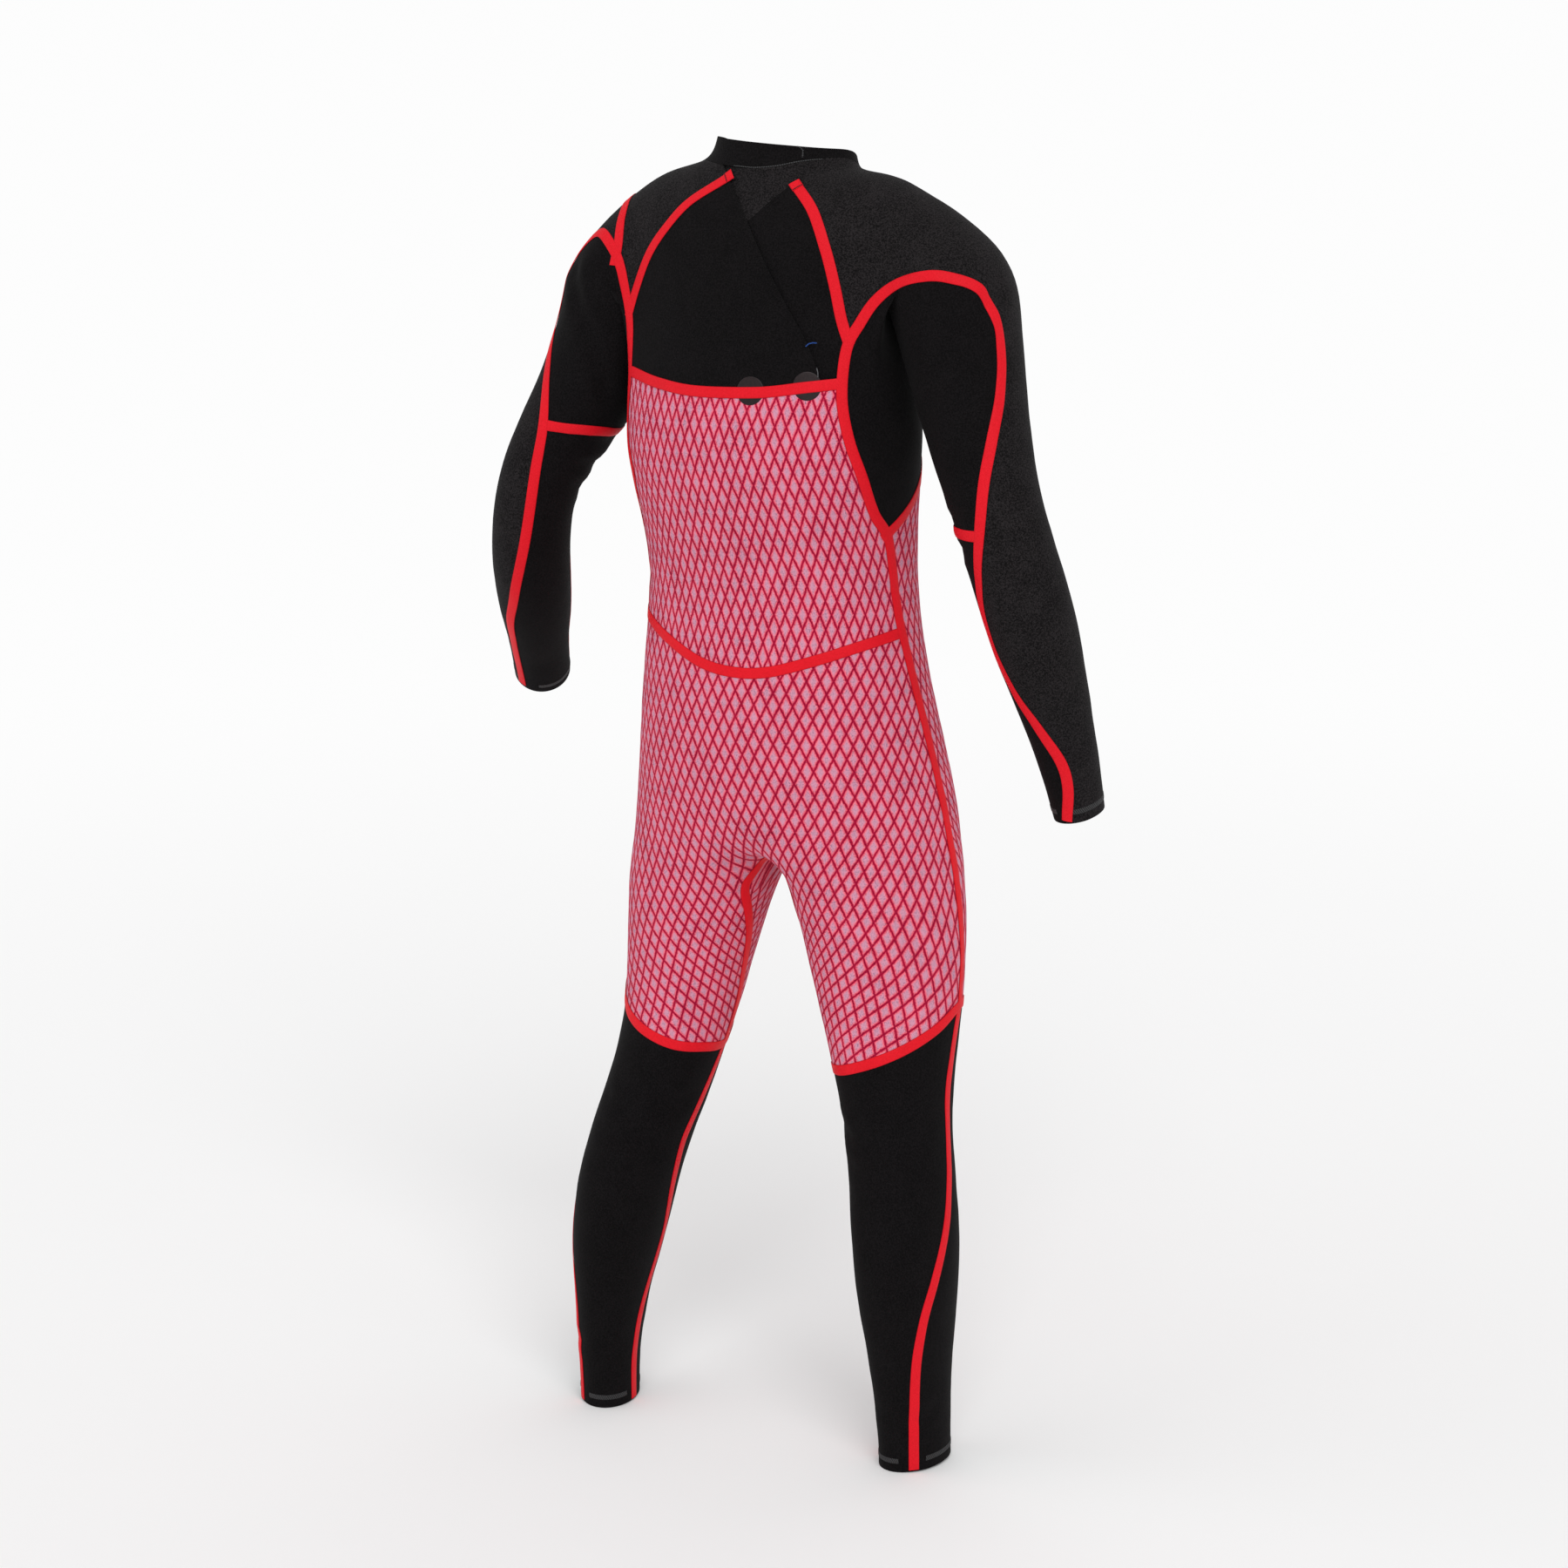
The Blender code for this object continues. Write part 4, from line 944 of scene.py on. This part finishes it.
def lattice_material(name, threads, wide, high):
    """Heathered pink knit with crimson diamond lines that follow the cloth's own threads."""
    material, tree, surface = new_material(name, 0.9, 0.02, 0.6, 0.08)
    speckle, height, place = heather_in(tree, 1000.0)
    thread = tree.add("ShaderNodeUVMap", uv_map=threads).outputs[0]
    stray = tree.add("ShaderNodeTexNoise", {"Vector": place, "Scale": 260.0, "Detail": 2.0})
    shake = tree.add("ShaderNodeVectorMath", {0: stray.outputs[1], 1: (0.5, 0.5, 0.5)},
                     operation="SUBTRACT").outputs[0]
    shake = tree.add("ShaderNodeVectorMath", {0: shake, 1: (0.0016, 0.0024, 0.0)},
                     operation="MULTIPLY").outputs[0]
    thread = tree.add("ShaderNodeVectorMath", {0: thread, 1: shake}, operation="ADD").outputs[0]
    parts = tree.add("ShaderNodeSeparateXYZ", {0: thread})
    across = tree.math("DIVIDE", parts.outputs[0], wide)
    down = tree.math("DIVIDE", parts.outputs[1], high)
    leaf = tree.math("MINIMUM",
                     tree.math("ABSOLUTE", tree.math("SINE", tree.math(
                         "MULTIPLY", tree.math("ADD", across, down), math.pi))),
                     tree.math("ABSOLUTE", tree.math("SINE", tree.math(
                         "MULTIPLY", tree.math("SUBTRACT", across, down), math.pi))))
    uneven = tree.math("MULTIPLY", tree.math("SUBTRACT", speckle, 0.5), 0.40)
    leaf = tree.math("ADD", leaf, uneven)
    colour = tree.ramp(leaf, ((0.0, LINE_DARK), (0.20, LINE), (0.38, BLUSH), (0.62, PETAL),
                              (0.90, LILAC)))
    grain = tree.steps(speckle, 0.34, 0.62)
    pale = tree.mix(grain, colour, (1.36, 1.22, 1.24, 1), "MULTIPLY")
    grey = tree.mix(tree.steps(speckle, 0.46, 0.36), pale, (0.44, 0.54, 0.64, 1), "MULTIPLY")
    tree.put(surface.inputs["Base Color"], grey)
    relief = tree.math("ADD", tree.math("MULTIPLY", tree.steps(leaf, 0.05, 0.35), 0.6), height)
    put_bump(tree, surface, relief, 0.0005, 0.6)
    return material


def tape_material():
    """Smooth stretch tape: a woven face with fine lengthways threads and pressed edges."""
    material, tree, surface = new_material("red_stretch_tape", 0.55, 0.0, 0.5, 0.12)
    speckle, height, place = heather_in(tree, 700.0)
    along = tree.add("ShaderNodeUVMap", uv_map="along").outputs[0]
    parts = tree.add("ShaderNodeSeparateXYZ", {0: along})
    threads = tree.math("SINE", tree.math("MULTIPLY", parts.outputs[1], math.tau / 0.0011))
    tone = tree.mix(tree.steps(speckle, 0.3, 0.7), (0.66, 0.005, 0.013, 1),
                    (0.78, 0.008, 0.020, 1))
    rim = tree.steps(tree.math("ABSOLUTE", parts.outputs[1]), 0.0047, 0.0057)
    tree.put(surface.inputs["Base Color"], tree.mix(rim, tone, (0.52, 0.004, 0.012, 1)))
    relief = tree.math("ADD", tree.math("MULTIPLY", threads, 0.2), height)
    put_bump(tree, surface, relief, 0.0003, 0.5)
    return material


def patch_material():
    """Thin dark film with a soft shine."""
    material, tree, surface = new_material("drain_film", 0.42, 0.0, 0.5, 0.30)
    speckle, height, place = heather_in(tree, 420.0)
    tree.put(surface.inputs["Base Color"],
             tree.mix(tree.steps(speckle, 0.35, 0.65), (0.0075, 0.0032, 0.0040, 1),
                      (0.0150, 0.0060, 0.0070, 1)))
    put_bump(tree, surface, height, 0.0003, 0.5)
    return material


def stitch_material(name, thread, cloth, pitch, slant):
    """Close rows of overlocked thread over a strip of cloth."""
    material, tree, surface = new_material(name, 0.7, 0.0, 0.5, 0.3)
    speckle, height, place = heather_in(tree, 900.0)
    along = tree.add("ShaderNodeUVMap", uv_map="along").outputs[0]
    parts = tree.add("ShaderNodeSeparateXYZ", {0: along})
    run = tree.math("ADD", parts.outputs[0], tree.math("MULTIPLY", parts.outputs[1], slant))
    loops = tree.math("SINE", tree.math("MULTIPLY", run, math.tau / pitch))
    cover = tree.steps(loops, -0.55, 0.35)
    toned = tree.mix(tree.steps(speckle, 0.3, 0.7), (*[0.72 * part for part in thread], 1),
                     (*thread, 1))
    tree.put(surface.inputs["Base Color"], tree.mix(cover, (*cloth, 1), toned))
    put_bump(tree, surface, tree.math("ADD", loops, height), 0.0004, 0.8)
    return material


HEATHER = heather_group()
LINE_DARK = (0.25, 0.002, 0.024)
LINE = (0.37, 0.006, 0.040)
BLUSH = (0.66, 0.090, 0.135)
PETAL = (0.62, 0.190, 0.255)
LILAC = (0.50, 0.250, 0.340)
BLACK_JERSEY = jersey_material("black_jersey", (0.0028, 0.0024, 0.0026),
                               (0.0080, 0.0068, 0.0074), 0.05)
# A lighter copy of the black jersey for the shoulder and outer sleeve panels: its raised light tone
# is painted light where the light falls on the shoulder tops; the speckle between its two tones is
# the jersey's own uneven fibre.
SHOULDER_JERSEY_LIT = jersey_material("shoulder_jersey_painted_light", (0.0024, 0.0020, 0.0022),
                                  (0.0215, 0.0185, 0.0196), 0.08)
BACK_LATTICE = lattice_material("back_lattice", "behind", 0.0118, 0.0300)
SEAT_LATTICE = lattice_material("seat_lattice", "behind", 0.0138, 0.0272)
FRONT_LATTICE = lattice_material("front_lattice", "ahead", 0.0130, 0.0285)
TAPE = tape_material()
FILM = patch_material()
HEM_STITCH = stitch_material("grey_hem_stitch", (0.052, 0.050, 0.052), (0.010, 0.010, 0.011),
                             0.0022, 0.5)
BLUE_THREAD = stitch_material("blue_thread", (0.03, 0.13, 0.55), (0.01, 0.03, 0.12),
                              0.0010, 0.6)
PALE_THREAD = stitch_material("pale_thread", (0.20, 0.20, 0.21), (0.06, 0.06, 0.065),
                              0.0010, 0.6)
DARK_THREAD = stitch_material("dark_thread", (0.060, 0.060, 0.062), (0.012, 0.012, 0.013),
                              0.0024, 0.0)
RED_THREAD = stitch_material("dark_red_thread", (0.28, 0.004, 0.012), (0.14, 0.002, 0.006),
                             0.0012, 0.4)

# each panel as it was cut from the sheet: its widest, its longest and its area, in metres and
# square metres, and the panel that it is sewn to along its longest seam
Cut = namedtuple("Cut", "panel width length area beside")


# ---------------------------------------------------------------- making the pieces
def finish_piece(name, mesh, material, replaced=None):
    """Make an object of a finished mesh, attach it to the root body and hide the part that it
    replaces.
    """
    data = bpy.data.meshes.new(name)
    mesh.normal_update()
    mesh.to_mesh(data)
    mesh.free()
    data.shade_smooth()
    piece = bpy.data.objects.new(name, data)
    bpy.context.scene.collection.objects.link(piece)
    data.materials.append(material)
    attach(piece, "root")
    if replaced:
        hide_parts(replaced)
    return piece


def mark_sharp_rims(mesh, turn=50):
    for edge in mesh.edges:
        if len(edge.link_faces) == 2 and edge.calc_face_angle(0) > math.radians(turn):
            edge.smooth = False


def make_cloth(name, surface, faces, level, material, replaced):
    """A panel of cloth: its face, its back a wall deeper, and the edge between them."""
    out = surface.verts.layers.float_vector["out"]
    maps = [surface.loops.layers.uv[key] for key in ("behind", "ahead")]
    piece = bmesh.new()
    new_maps = [piece.loops.layers.uv.new(key) for key in ("behind", "ahead")]
    twins, facing, sources = {}, {}, {}
    for face in sorted(faces, key=lambda face: face.index):
        for vert in face.verts:
            if vert not in twins:
                twins[vert] = piece.verts.new(vert.co)
                facing[twins[vert]] = vert[out].normalized()
                sources[twins[vert]] = vert
        copy = piece.faces.new([twins[vert] for vert in face.verts])
        for loop, source in zip(copy.loops, face.loops):
            for new, old in zip(new_maps, maps):
                loop[new].uv = source[old].uv
    pull_in_rim(piece, SEAM_GAP / 2)
    top = list(piece.verts)
    low = {vert: piece.verts.new(vert.co + facing[vert] * (level(sources[vert].co) - WALL))
           for vert in top}
    rim = [edge for edge in piece.edges if edge.is_boundary]
    skin = list(piece.faces)
    for edge in rim:
        loop = edge.link_loops[0]
        start, end = loop.vert, loop.link_loop_next.vert
        spots = {start: loop, end: loop.link_loop_next}
        side = piece.faces.new((end, start, low[start], low[end]))
        for corner, source in zip(side.loops, (end, start, start, end)):
            for new in new_maps:
                corner[new].uv = spots[source][new].uv
    for face in skin:
        lining = piece.faces.new([low[vert] for vert in reversed(face.verts)])
        for loop, source in zip(lining.loops, reversed(face.loops)):
            for new in new_maps:
                loop[new].uv = source[new].uv
    for vert in top:
        vert.co += facing[vert] * level(sources[vert].co)
    mark_sharp_rims(piece)
    return finish_piece(name, piece, material, replaced)


def make_panels(surface, form, seams):
    """The panels, then those of the under layer, which reach below the flap."""
    made = {}
    for table, opened, level in ((PANELS, "hidden", lambda point: 0.0),
                                 (UNDER_LAP, "lap", lambda point: sink(seams["lap"], point))):
        mark_cuts(surface, seams, (opened,))
        finder = BVHTree.FromBMesh(surface)
        parts = regions(surface)
        surface.faces.ensure_lookup_table()
        for name, spot, side in table:
            seed = surface.faces[finder.find_nearest(place(form, spot, side))[2]]
            for region in parts:
                if seed in region:
                    material, slot = CLOTHS[name]
                    made[name] = make_cloth(name + "_cloth", surface, region, level,
                                            material, name)
    return made


BLACK = (BLACK_JERSEY, "black_lining")
# the lighter jersey of the shoulder tops carries painted light on the lit shoulders
SHOULDER_LIT = (SHOULDER_JERSEY_LIT, "shoulder_lining")
CLOTHS = {
    "collar": BLACK, "yoke_flap": BLACK, "yoke_under": BLACK, "chest": BLACK,
    "gusset_l": BLACK, "gusset_r": BLACK, "forearm_l": BLACK, "forearm_r": BLACK,
    "calf_l": BLACK, "calf_r": BLACK, "shin_l": BLACK, "shin_r": BLACK,
    "shoulder_l": SHOULDER_LIT, "sleeve_outer_l": SHOULDER_LIT, "sleeve_outer_r": SHOULDER_LIT,
    "back": (BACK_LATTICE, "lattice_lining"), "seat": (SEAT_LATTICE, "lattice_lining"),
    "front": (FRONT_LATTICE, "lattice_lining"),
}
RIBBON_STEP = 0.004
RIBBON_ACROSS = (-1.0, -0.93, -0.5, 0.0, 0.5, 0.93, 1.0)
RIBBON_CROWN = (0.35, 0.85, 1.0, 1.0, 1.0, 0.85, 0.35)
TAPE_THICK = 0.0006
TAPE_LAYER = 0.00022     # the most that one tape lies above another


def ribbon_mesh(ground, line, half, level, thick, first=0.0, last=None, closed=False):
    """A thin strip along a seam that lies on the cloth, with its way along and across it."""
    last = line.length if last is None else last
    count = max(2, round((last - first) / RIBBON_STEP))
    stations = [first + (last - first) * step / count for step in range(count + (not closed))]
    mesh = bmesh.new()
    along = mesh.loops.layers.uv.new("along")
    place_of = {}
    rows = []
    for station in stations:
        index = line.index_at(station)
        point = line.points[index] + line.along[index] * (station - line.stations[index])
        leftward = line.normals[index].cross(line.along[index])
        row = []
        for share, crown in zip(RIBBON_ACROSS, RIBBON_CROWN):
            spot, normal = ground.find_nearest(point + leftward * (share * half))[:2]
            upper = mesh.verts.new(spot + normal * (level + thick * crown))
            place_of[upper] = (station, share * half)
            row.append((upper, spot + normal * level))
        rows.append(row)
    lower = []
    for row, station in zip(rows, stations):
        base = []
        for (upper, spot), share in zip(row, RIBBON_ACROSS):
            vert = mesh.verts.new(spot)
            place_of[vert] = (station, share * half)
            base.append(vert)
        lower.append(base)
    spans = len(rows) if closed else len(rows) - 1
    for index in range(spans):
        after = (index + 1) % len(rows)
        top, next_top = [u for u, _ in rows[index]], [u for u, _ in rows[after]]
        low, next_low = lower[index], lower[after]
        for column in range(len(RIBBON_ACROSS) - 1):
            mesh.faces.new((top[column], next_top[column], next_top[column + 1],
                            top[column + 1]))
            mesh.faces.new((low[column], low[column + 1], next_low[column + 1],
                            next_low[column]))
        mesh.faces.new((low[0], next_low[0], next_top[0], top[0]))
        mesh.faces.new((top[-1], next_top[-1], next_low[-1], low[-1]))
    if not closed:
        for ring, turn in ((0, 1), (-1, -1)):
            top = [u for u, _ in rows[ring]]
            low = lower[ring]
            for column in range(len(RIBBON_ACROSS) - 1):
                corners = (top[column], top[column + 1], low[column + 1], low[column])
                mesh.faces.new(corners[::turn])
    bmesh.ops.recalc_face_normals(mesh, faces=mesh.faces[:])
    for face in mesh.faces:
        for loop in face.loops:
            loop[along].uv = place_of[loop.vert]
    mark_sharp_rims(mesh, 60)
    return mesh


def level_of(name, names):
    """Later tapes lie under earlier ones where they meet."""
    return SEAM_GAP + TAPE_LAYER * (1 - names.index(name) / len(names))


UNTAPED = ("collar", "lap", "under_top")
TAPE_TUCK = 0.0045       # a tape ends this far short of the middle of the tape it runs under


def make_tapes(ground, seams):
    names = [name for name in seams if name not in UNTAPED]
    tapes = {}
    for name in names:
        line = seams[name]
        earlier = [seams[other] for other in names[:names.index(name)]]
        first, last = (TAPE_TUCK if any(other.finder.find(line.points[end])[2] < TAPE_WIDTH / 2
                                        for other in earlier) else 0.0 for end in (0, -1))
        mesh = ribbon_mesh(ground, line, TAPE_WIDTH / 2, level_of(name, names), TAPE_THICK,
                           first, line.length - last, closed=line.closed)
        tapes[name] = finish_piece("tape_" + name + "_strip", mesh, TAPE,
                                   "tape_" + name)
    return tapes


PATCH_STEPS = 48
PATCH_LEVEL, PATCH_THICK = 0.00012, 0.0003
# share of the radius, and of the thickness there, from the middle out and round the rim
PATCH_RINGS = ((0.0, 1.0), (0.3, 1.0), (0.6, 1.0), (0.9, 1.0), (0.97, 0.9), (1.0, 0.3), (1.0, 0.0))


def make_patches(ground, form):
    """Round films below the chest tape, each a fan of rings laid on the cloth."""
    made = []
    for name, spot in zip(("patch_l", "patch_r"), DRAINS):
        centre = place(form, spot, 1)
        normal = form.find_nearest(centre)[1]
        across = normal.cross(Vector((0, 0, 1))).normalized()
        rise = across.cross(normal)
        mesh = bmesh.new()
        along = mesh.loops.layers.uv.new("along")
        rings = []
        for share, thick in PATCH_RINGS:
            ring = []
            for step in range(1 if share == 0 else PATCH_STEPS):
                angle = math.tau * step / PATCH_STEPS
                aim = across * math.cos(angle) + rise * math.sin(angle)
                found, facing = ground.find_nearest(centre + aim * (PATCH_RADIUS * share))[:2]
                ring.append(mesh.verts.new(found + facing * (PATCH_LEVEL + PATCH_THICK * thick)))
            rings.append(ring)
        for inner, outer in zip(rings, rings[1:]):
            for step in range(PATCH_STEPS):
                after = (step + 1) % PATCH_STEPS
                if len(inner) == 1:
                    mesh.faces.new((inner[0], outer[step], outer[after]))
                else:
                    mesh.faces.new((inner[step], outer[step], outer[after], inner[after]))
        mesh.faces.new(rings[-1][::-1])
        bmesh.ops.recalc_face_normals(mesh, faces=mesh.faces[:])
        made.append(finish_piece(name + "_film", mesh, FILM, name))
    return made


def hem_line(form, rows, side, above_rim, first, last):
    """A line round a limb, a little above its open end, between two bearings."""
    frames = limb_frames(rows, side)
    (upper, _, _), (lower, ahead, out) = frames[-2], frames[-1]
    centre = lower + (upper - lower).normalized() * above_rim
    knots = []
    for step in range(15):
        angle = math.radians(first + (last - first) * step / 14)
        aim = ahead * math.cos(angle) + out * math.sin(angle)
        hit = form.ray_cast(centre, aim)[0]
        knots.append(hit or form.find_nearest(centre + aim * 0.04)[0])
    return Seam(form, knots)


# limb, side, and the bearings between which its hem is stitched
HEMS = (
    ("cuff_l", LEFT_ARM, 1, 14, 158), ("cuff_l_inner", LEFT_ARM, 1, 196, 314),
    ("cuff_r", RIGHT_ARM, -1, 6, 166), ("cuff_r_inner", RIGHT_ARM, -1, 200, 318),
    ("ankle_l", LEG, 1, -66, 134), ("ankle_l_behind", LEG, 1, 178, 240),
    ("ankle_r", LEG, -1, -66, 134), ("ankle_r_behind", LEG, -1, 178, 240),
)


HEM_RISE, HEM_HALF = 0.0125, 0.0028      # above the open end, and half the stitching's width
STITCH_LEVEL, STITCH_THICK = 0.0001, 0.0004


def make_hems(ground, form):
    for name, rows, side, first, last in HEMS:
        line = hem_line(form, rows, side, HEM_RISE, first, last)
        mesh = ribbon_mesh(ground, line, HEM_HALF, STITCH_LEVEL, STITCH_THICK)
        finish_piece("stitched_hem_" + name, mesh, HEM_STITCH)


# thread, its line of spots, half width and how far it stands up
Thread = namedtuple("Thread", "name spots material slot half thick")
THREADS = (
    Thread("bartack_blue", spots("back", (-0.084, -0.160), (-0.088, -0.1565), (-0.094, -0.1565)),
                           BLUE_THREAD, "black_lining",
           0.0006, 0.0006),
    Thread("bartack_pale", spots("back", (-0.0955, -0.181), (-0.0968, -0.185), (-0.0972, -0.190)),
                           PALE_THREAD, "black_lining",
           0.0005, 0.0005),
    Thread("collar_join", spots("trunk", (220, 0.041), (221, 0.033), (221, 0.025)), DARK_THREAD,
                          "black_lining",
           0.0007, 0.0004),
    Thread("collar_stitch", spots("back", (0.026, 0.0165), (0.0, 0.0150), (-0.024, 0.0170),
                            (-0.046, 0.0215), (-0.062, 0.0235)), DARK_THREAD, "black_lining",
           0.0005, 0.0003),
)


def make_threads(ground, form):
    for thread in THREADS:
        line = Seam(form, [place(form, spot, 1) for spot in thread.spots])
        mesh = ribbon_mesh(ground, line, thread.half, STITCH_LEVEL, thread.thick)
        finish_piece(thread.name, mesh, thread.material)


# half width, level, thickness, and where it starts and ends along the tape
TAPE_FOLD = (TAPE_WIDTH * 0.54, 0.0009, TAPE_THICK, -0.001, 0.0085)
FOLD_STITCH = (TAPE_WIDTH * 0.50, 0.0014, STITCH_THICK, 0.0068, 0.0080)


def make_tape_ends(ground, seams):
    """The upper ends of the two raglan tapes behind are folded over and sewn down."""
    for name in ("raglan_back_l", "raglan_back_r"):
        line = seams[name]
        fold = ribbon_mesh(ground, line, *TAPE_FOLD)
        finish_piece(name + "_end", fold, TAPE)
        stitch = ribbon_mesh(ground, line, *FOLD_STITCH)
        finish_piece(name + "_end_stitch", stitch, RED_THREAD)


# ---------------------------------------------------------------- studio
FLOOR_CORNERS = ((-60, -90), (60, -90), (60, 30), (-60, 30))
FLOOR_DROP = 0.0005
HAZE_FROM, HAZE_TO = 1.3, 5.0            # the floor fades to white over this way from the suit
# lamp, the way its light comes from, its softness in degrees and its strength
SUNS = (
    ("key", (-1.6, 2.2, 2.4), 40, 1.25),
    ("fill", (2.2, 1.6, 1.2), 60, 0.35),
    ("rim", (0.4, -2.0, 2.0), 60, 0.30),
)
SKY_LIGHT, SKY_SEEN_MORE = 0.60, 0.38    # strength, and what is added where the camera sees it
BEARING, PITCH = 28, 11.74               # degrees
CAMERA_PLACE = (-1.549, 2.914, 0.05)
LENS, SENSOR = 72, 36                    # millimetres


def make_stage():
    """A pale floor that fades to plain white away from the suit."""
    floor_z = cad_box[0][2] - FLOOR_DROP
    mesh = bmesh.new()
    mesh.faces.new([mesh.verts.new((x, y, floor_z)) for x, y in FLOOR_CORNERS])
    data = bpy.data.meshes.new("studio_floor")
    mesh.to_mesh(data)
    mesh.free()
    floor = bpy.data.objects.new("studio_floor", data)
    bpy.context.scene.collection.objects.link(floor)
    material, tree, surface = new_material("pale_floor", 0.9, specular=0.0)
    cloud = tree.add("ShaderNodeTexNoise", {"Scale": 0.8})
    tree.put(cloud.inputs["Vector"], tree.add("ShaderNodeTexCoord").outputs["Object"])
    away = tree.add("ShaderNodeVectorMath", operation="LENGTH")
    tree.put(away.inputs[0], tree.add("ShaderNodeTexCoord").outputs["Object"])
    haze = tree.steps(away.outputs["Value"], HAZE_FROM, HAZE_TO)
    near = tree.mix(cloud.outputs[0], (0.93, 0.93, 0.93, 1), (0.95, 0.95, 0.95, 1))
    tree.put(surface.inputs["Base Color"], tree.mix(haze, near, (0, 0, 0, 1)))
    tree.put(surface.inputs["Emission Color"], tree.mix(haze, (0, 0, 0, 1),
                                                        (0.98, 0.98, 0.98, 1)))
    surface.inputs["Emission Strength"].default_value = 1.0
    data.materials.append(material)


def add_sun(name, from_way, softness, strength):
    lamp = bpy.data.lights.new(name, "SUN")
    lamp.angle = math.radians(softness)
    lamp.energy = strength
    light = bpy.data.objects.new(name, lamp)
    light.rotation_euler = (-Vector(from_way)).to_track_quat("-Z", "Y").to_euler()
    bpy.context.scene.collection.objects.link(light)


def light_studio():
    world = bpy.data.worlds.new("studio")
    bpy.context.scene.world = world
    world.use_nodes = True
    tree = Tree(world.node_tree)
    sky = world.node_tree.nodes["Background"]
    seen = tree.add("ShaderNodeLightPath").outputs["Is Camera Ray"]
    tree.put(sky.inputs[1], tree.math("MULTIPLY_ADD", seen, SKY_SEEN_MORE, SKY_LIGHT))
    sky.inputs[0].default_value = (1, 1, 1, 1)
    for sun in SUNS:
        add_sun(*sun)
    bpy.context.scene.view_settings.view_transform = "Standard"


def aim_camera():
    bearing, pitch = math.radians(BEARING), math.radians(PITCH)
    lens = bpy.data.cameras.new("camera")
    lens.lens = LENS
    lens.sensor_width = SENSOR
    camera = bpy.data.objects.new("camera", lens)
    camera.location = CAMERA_PLACE
    look = Vector((math.sin(bearing) * math.cos(pitch), -math.cos(bearing) * math.cos(pitch),
                   -math.sin(pitch)))
    camera.rotation_euler = look.to_track_quat("-Z", "Y").to_euler()
    bpy.context.scene.collection.objects.link(camera)
    bpy.context.scene.camera = camera


# ---------------------------------------------------------------- all of it
def dress():
    surface = smooth_form()
    surface.normal_update()
    out = surface.verts.layers.float_vector.new("out")
    for vert in surface.verts:
        vert[out] = vert.normal
    surface.edges.layers.int.new("line")
    bmesh.ops.triangulate(surface, faces=surface.faces[:])
    form = BVHTree.FromBMesh(surface)
    seams = draw_all(form)
    for label, seam in enumerate(seams.values(), 1):
        cut_along(surface, seam, 0.0, label)
    cut_along(surface, seams["lap"], -LAP, HIDDEN)
    fold_cloth(surface, form)
    surface.faces.index_update()
    ground = BVHTree.FromBMesh(surface)
    panels = make_panels(surface, form, seams)
    tapes = make_tapes(ground, seams)
    make_patches(ground, form)
    make_hems(ground, form)
    make_threads(ground, form)
    make_tape_ends(ground, seams)
    surface.free()


make_stage()
light_studio()
aim_camera()
dress()
